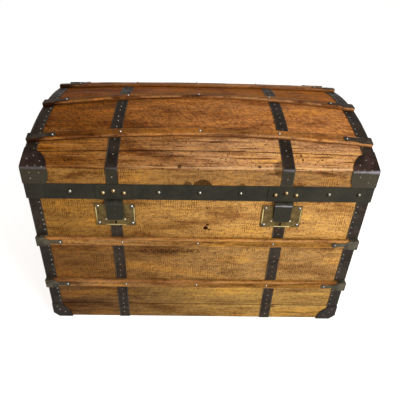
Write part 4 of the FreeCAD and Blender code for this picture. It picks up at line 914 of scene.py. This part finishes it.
def bowed_share(x, which):
    """Share at which a joint or slat lies, counted from the nearer lip."""
    bow = 1 - (x / LID_HALF) ** 2
    at_ends, at_middle = JOINTS[which]
    low, high = at_ends / half_arc(LID_HALF), at_middle / half_arc(0)
    return low + (high - low) * bow


def joint_share(x, number):
    """Share of the numbered joint between the dome boards, from the front lip to the back one."""
    if number in (0, 7):
        return 2.0 if number else 0.0
    which = ("shoulder", "outer", "second", "third", "outer", "shoulder")[number - 1]
    return bowed_share(x, which) if number < 4 else 2 - bowed_share(x, which)


def dome_board(number, pieces=56, rows=10):
    """One bent board between two joints, with its edges eased."""
    mesh = slab(pieces, rows, (2 * LID_HALF, 1), LID_WALL, 0.5)
    bmesh.ops.translate(mesh, vec=(0, 0, -LID_WALL), verts=mesh.verts)
    rim = [edge for edge in mesh.edges
           if all(v.co.z > -LID_WALL / 2 for v in edge.verts)
           and any(abs(f.normal.z) < 0.5 for f in edge.link_faces)]

    def bent(x, y, z):
        share = joint_share(x, number) * (1 - y) + joint_share(x, number + 1) * y
        return dome_frame(x, share, z)[0]

    lay(mesh, bent)
    round_edges(mesh, rim, BOARD_EASE, 2, 1)
    return mesh


def on_dome(x, arc, radius, depth, shade=SCORCH):
    """Stain at a distance up the dome from the front lip."""
    return (*dome_frame(x, arc / half_arc(x))[0], radius, depth, shade)


SLEEVE_STAIN = (0.205, -0.2865, 0.538, 0.026, 0.55, GREASE)
LIP_STAINS = ((0.008, LIP_FACE, 0.481, 0.025, 0.85, GREASE), (-0.03, LIP_FACE, 0.49, 0.010, 0.7, GREASE),
              (0.105, LIP_FACE, 0.488, 0.008, 0.7, GREASE), SLEEVE_STAIN)
SHOULDER_STAINS = (SLEEVE_STAIN, on_dome(-0.05, 0.009, 0.005, 0.8), on_dome(0.144, 0.011, 0.004, 0.8),
                   on_dome(0.25, 0.045, 0.004, 0.7), on_dome(0.252, 0.033, 0.003, 0.8),
                   on_dome(0.300, 0.033, 0.003, 0.7))
lip_pine = wood("lip_pine", (158, 114, 58), (148, 110, 66), saw=1.0, patch=0.8, pits=0.5, seed=31.0,
                stains=LIP_STAINS)
# the shoulder boards get a painted highlight along the rounded bend above the lip
shoulder_pine = wood("shoulder_pine", (147, 95, 38), (185, 136, 93), streak=0.8, patch=0.6, pits=0.9,
                     seed=33.0, gloss=0.8, ridge=LIP_TOP + 0.0052, cracks=0.9, stains=SHOULDER_STAINS)
crown_pine = wood("crown_pine", (127, 76, 25), (184, 121, 68), streak=0.35, figure=0.6, seed=37.0,
                  gloss=0.8, cracks=0.4)
top_pine = wood("top_pine", (127, 70, 10), (158, 94, 28), streak=0.6, patch=0.7, figure=0.4, seed=39.0,
                gloss=0.7)
# the boards nearer the apex get darker, redder tones: partly their own stain, partly painted shade on the
# boards that face upward
DOME_BOARDS = (("front_lower", shoulder_pine), ("front_shoulder", shoulder_pine),
               ("front_crown", crown_pine), ("top", top_pine), ("back_crown", crown_pine),
               ("back_shoulder", shoulder_pine), ("back_lower", shoulder_pine))
for number, (name, finish) in enumerate(DOME_BOARDS):
    piece("dome_%s_board" % name, [dome_board(number)], (finish, joint_dirt), "lid",
          ["dome_board_" + name])
for face, wall in (("front", LIP_FACE), ("back", HALF_DEPTH - LID_WALL)):
    lip = plank((-LID_HALF, wall, LID_BOTTOM), (LID_HALF, wall + LID_WALL, LIP_TOP), BOARD_EASE)
    piece(face + "_lip", [lip], (lip_pine,), "lid", ["lid_lip_" + face])
for side in ("left", "right"):
    finish_node("lid_end_board_" + side, end_pine)

# ---- Ironwork of the lid: an angle bent along each end of the dome, a cap over each upper corner and
# two straps over the dome, all tacked.

SEAT = 0.0001
CAP_RADIUS = 0.064
CAP_LIP_TACKS = ((0.020, 0.012), (0.043, 0.012), (0.020, 0.028))
CAP_DOME_TACKS = ((0.018, 0.020), (0.036, 0.024), (0.052, 0.014), (0.044, 0.036), (0.012, 0.042),
                  (0.026, 0.050))
DOME_LINE_START = 0.02
DOME_ROWS = ((LID_HALF - LEG + 0.006, 31), (STRAP_AT, 24))
DOME_ROW_START = 0.09
LIP_TACK_LEVEL = LIP_TOP - 0.022
VALANCE_TOP = 0.489
# the fold highlight tones paint a highlight along the bend of the caps and straps over the lip
cap_dark = sheet_iron("cap_dark", (30, 20, 15), (60, 44, 38), seed=16.0, fold=LIP_TOP,
                      below=(62, 58, 46), fold_highlight=(136, 132, 138))
folded_iron = sheet_iron("folded_iron", (30, 23, 17), (52, 43, 35), (66, 46, 30), seed=2.5,
                         fold=LIP_TOP, below=(52, 48, 38), fold_highlight=(112, 110, 116))
for name, side in ENDS:
    end = side * LID_HALF
    first = (CAP_RADIUS - LEG) / half_arc(end)
    run = 2 - 2 * first
    top_leg = strip(LEG, 1, pieces=90)
    lay(top_leg, lambda x, y, z: dome_frame(end - side * (LEG / 2 + x), first + run * y, SEAT + z)[0])
    end_leg = strip(LEG + METAL, 1, pieces=90)
    lay(end_leg, lambda x, y, z: Vector((side * z, 0, 0))
        + dome_frame(end, first + run * y, SEAT + METAL - (LEG + METAL) / 2 - x)[0])
    piece("lid_binding_%s_iron" % name, [top_leg, end_leg], (folded_iron, worn_edge), "lid",
          ["lid_binding_" + name])
finish_node("lid_corner_caps", cap_dark)
surface = face_of("lid_corner_caps")
lid_cap_tacks = []
for side in (-1, 1):
    for back in (-1, 1):
        for inward, down in CAP_LIP_TACKS:
            start = (side * (LID_HALF - inward), back * (LID_DEPTH / 2 + LINE_START), LIP_TOP - down)
            lid_cap_tacks.append(stand(*met(surface, start, (0, -back, 0))))
        for inward, arc in CAP_DOME_TACKS:
            x = side * (LID_HALF - inward)
            share = arc / half_arc(x)
            point, normal = dome_frame(x, share if back < 0 else 2 - share, DOME_LINE_START)[::2]
            lid_cap_tacks.append(stand(*met(surface, point, -normal)))
tacks("lid_cap_tacks", lid_cap_tacks, "lid")
lid_tacks = []
for side in (-1, 1):
    for row, count in DOME_ROWS:
        for index in range(count):
            passed = (index + 0.5 + draws.uniform(-0.2, 0.2)) / count
            share = DOME_ROW_START + (2 - 2 * DOME_ROW_START) * passed
            point, normal = dome_frame(side * row, share, SEAT + METAL)[::2]
            aside = Vector((draws.uniform(-STRAP_DRIFT, STRAP_DRIFT), 0, 0))
            lid_tacks.append(stand(point + aside, normal))
    lid_tacks.append(stand((side * STRAP_AT, LIP_FACE - SEAT - METAL, LIP_TACK_LEVEL), FORWARD))
    lid_tacks.append(stand((side * STRAP_AT, HALF_DEPTH + SEAT + METAL, LIP_TACK_LEVEL), (0, 1, 0)))
tacks("lid_tacks", lid_tacks, "lid")
for name, side in ENDS:
    over = strip(STRAP, 1, pieces=110)
    lay(over, lambda x, y, z: dome_frame(side * STRAP_AT + x, 2 * y, SEAT + z)[0])
    front = strip(STRAP, LIP_TOP - VALANCE_TOP, pieces=3)
    lay(front, lambda x, y, z: (side * STRAP_AT + x, LIP_FACE - SEAT - z, VALANCE_TOP + y))
    rear = strip(STRAP, LIP_TOP - LID_BOTTOM, pieces=3)
    lay(rear, lambda x, y, z: (side * STRAP_AT + x, HALF_DEPTH + SEAT + z, LID_BOTTOM + y))
    piece("lid_strap_%s_iron" % name, [over, front, rear], (folded_iron, worn_edge), "lid",
          ["lid_strap_" + name])

# ---- Slats of the dome: four pine battens bent from end to end and nailed over the straps, with an
# iron clamp round both ends of each.

SLAT_SEAT = METAL + 2 * SEAT
DOME_SLAT_TALL = 0.0085
SLAT_LINES = {1: lambda x: bowed_share(x, "outer"), 2: lambda x: bowed_share(x, "second"),
              3: lambda x: 2 - bowed_share(x, "third"), 4: lambda x: 2 - bowed_share(x, "outer")}
dome_slat_pine = wood("dome_slat_pine", (126, 78, 26), (143, 95, 50), streak=0.8, saw=0.15, patch=0.5,
                      pits=0.6, seed=41.0, gloss=1.0, left_end_darkening=0.95)
# painted highlight: paler wood on the dome slats' rounded edges
dome_slat_edge = wood("dome_slat_edge", (138, 92, 52), (166, 120, 80), streak=1.0, patch=0.9, pits=0.5,
                      seed=41.0, gloss=1.0, left_end_darkening=0.95)
# painted shade: darker wood on the dome slats' sides, for the dark line under each slat
dome_slat_side = wood("dome_slat_side", (92, 56, 26), (120, 76, 38), streak=0.6, seed=42.0, left_end_darkening=0.95)
for number, line in SLAT_LINES.items():
    def bent(x, y, z):
        point, direction, normal = dome_frame(x, line(x), SLAT_SEAT)
        return point + direction * y + normal * z
    slat = lay(batten(2 * LID_HALF, number * 7.7, DOME_SLAT_TALL), bent)
    piece("dome_batten_%d" % number, [slat], (dome_slat_pine, dome_slat_edge, dome_slat_side), "lid",
          ["dome_slat_%d" % number])
clamp_iron = sheet_iron("clamp_iron", (40, 34, 28), (70, 62, 52), (84, 58, 38), seed=19.0, scale=2.0)
finish_node("dome_slat_clamps", clamp_iron)
finish_node("dome_slat_nails", nail_steel)

# ---- Valance: one dark iron band round the front and ends of the lid, held by a row of round steel
# studs.

band_iron = sheet_iron("band_iron", (41, 40, 33), (53, 50, 41), seed=17.0, rough=0.55)
# the crown tones paint a highlight on each stud, with painted shade round its other sides
stud_brass = sheet_iron("stud_brass", (88, 66, 34), (138, 108, 62), seed=18.0, rough=0.3, metal=0.25,
                        crown=(236, 220, 176))
stud_steel = sheet_iron("stud_steel", (82, 76, 62), (124, 116, 98), seed=20.0, rough=0.3, metal=0.25,
                        crown=(232, 228, 214))
finish_node("valance", band_iron)
finish_node("valance_studs", stud_steel)

# ---- Hasps: an iron plate on the valance with three brass studs, and a flap that hangs from its
# knuckles over the lock.

FLAP_RIVETS = (0.026, 0.046)
FLAP_FOLD = 0.0115
# the right flap gets a brighter painted highlight along its fold than the left one, as it faces the key
# lamp
for side, flap_fold_highlight in (("left", (72, 70, 66)), ("right", (150, 148, 152))):
    low, high = (Vector(corner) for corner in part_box("hasp_flap_" + side))
    flap_iron = sheet_iron("flap_iron_" + side, (40, 39, 31), (58, 55, 45), seed=24.0, rough=0.4,
                           fold=high.z - FLAP_FOLD, below=(44, 43, 34), fold_highlight=flap_fold_highlight)
    finish_node("hasp_plate_" + side, band_iron)
    finish_node("hasp_flap_" + side, flap_iron)
    surface = face_of("hasp_flap_" + side)
    starts = [((low.x + high.x) / 2, low.y - LINE_START, high.z - down) for down in FLAP_RIVETS]
    flap_rivets = heads(rivet_shape, [stand(*met(surface, start, (0, 1, 0))) for start in starts])
    piece("hasp_flap_rivets_" + side, [flap_rivets], (worn_edge,), side + "_hasp")
finish_node("hasp_pins", strap_iron)
finish_node("hasp_studs", stud_brass)

# ---- Rear hinges: three forged iron hinges, each with a leaf on the back wall and one on the lid, held
# by domed screws.

hinge_iron = sheet_iron("hinge_iron", (38, 34, 30), (64, 58, 51), (80, 54, 36), seed=26.0, rough=0.45)
HINGE_OFFSET = 0.290
SCREW_ASIDE = 0.021
SCREW_LEVELS = (0.018, 0.038)
screw_head = tack_shape(0.0036, rise=0.0014, around=12, rings=3)
for name, body, way in (("hinge_leaves_base", "base", -1), ("hinge_leaves_lid", "lid", 1)):
    finish_node(name, hinge_iron)
    surface = face_of(name)
    starts = [(number * HINGE_OFFSET + aside, HALF_DEPTH + LINE_START, RIM + way * away)
              for number in (-1, 0, 1) for aside in (-SCREW_ASIDE, SCREW_ASIDE) for away in SCREW_LEVELS]
    screws = heads(screw_head, [stand(*met(surface, start, FORWARD)) for start in starts])
    piece(name + "_screws", [screws], (tack_steel,), body)
finish_node("hinge_pins", nail_steel)
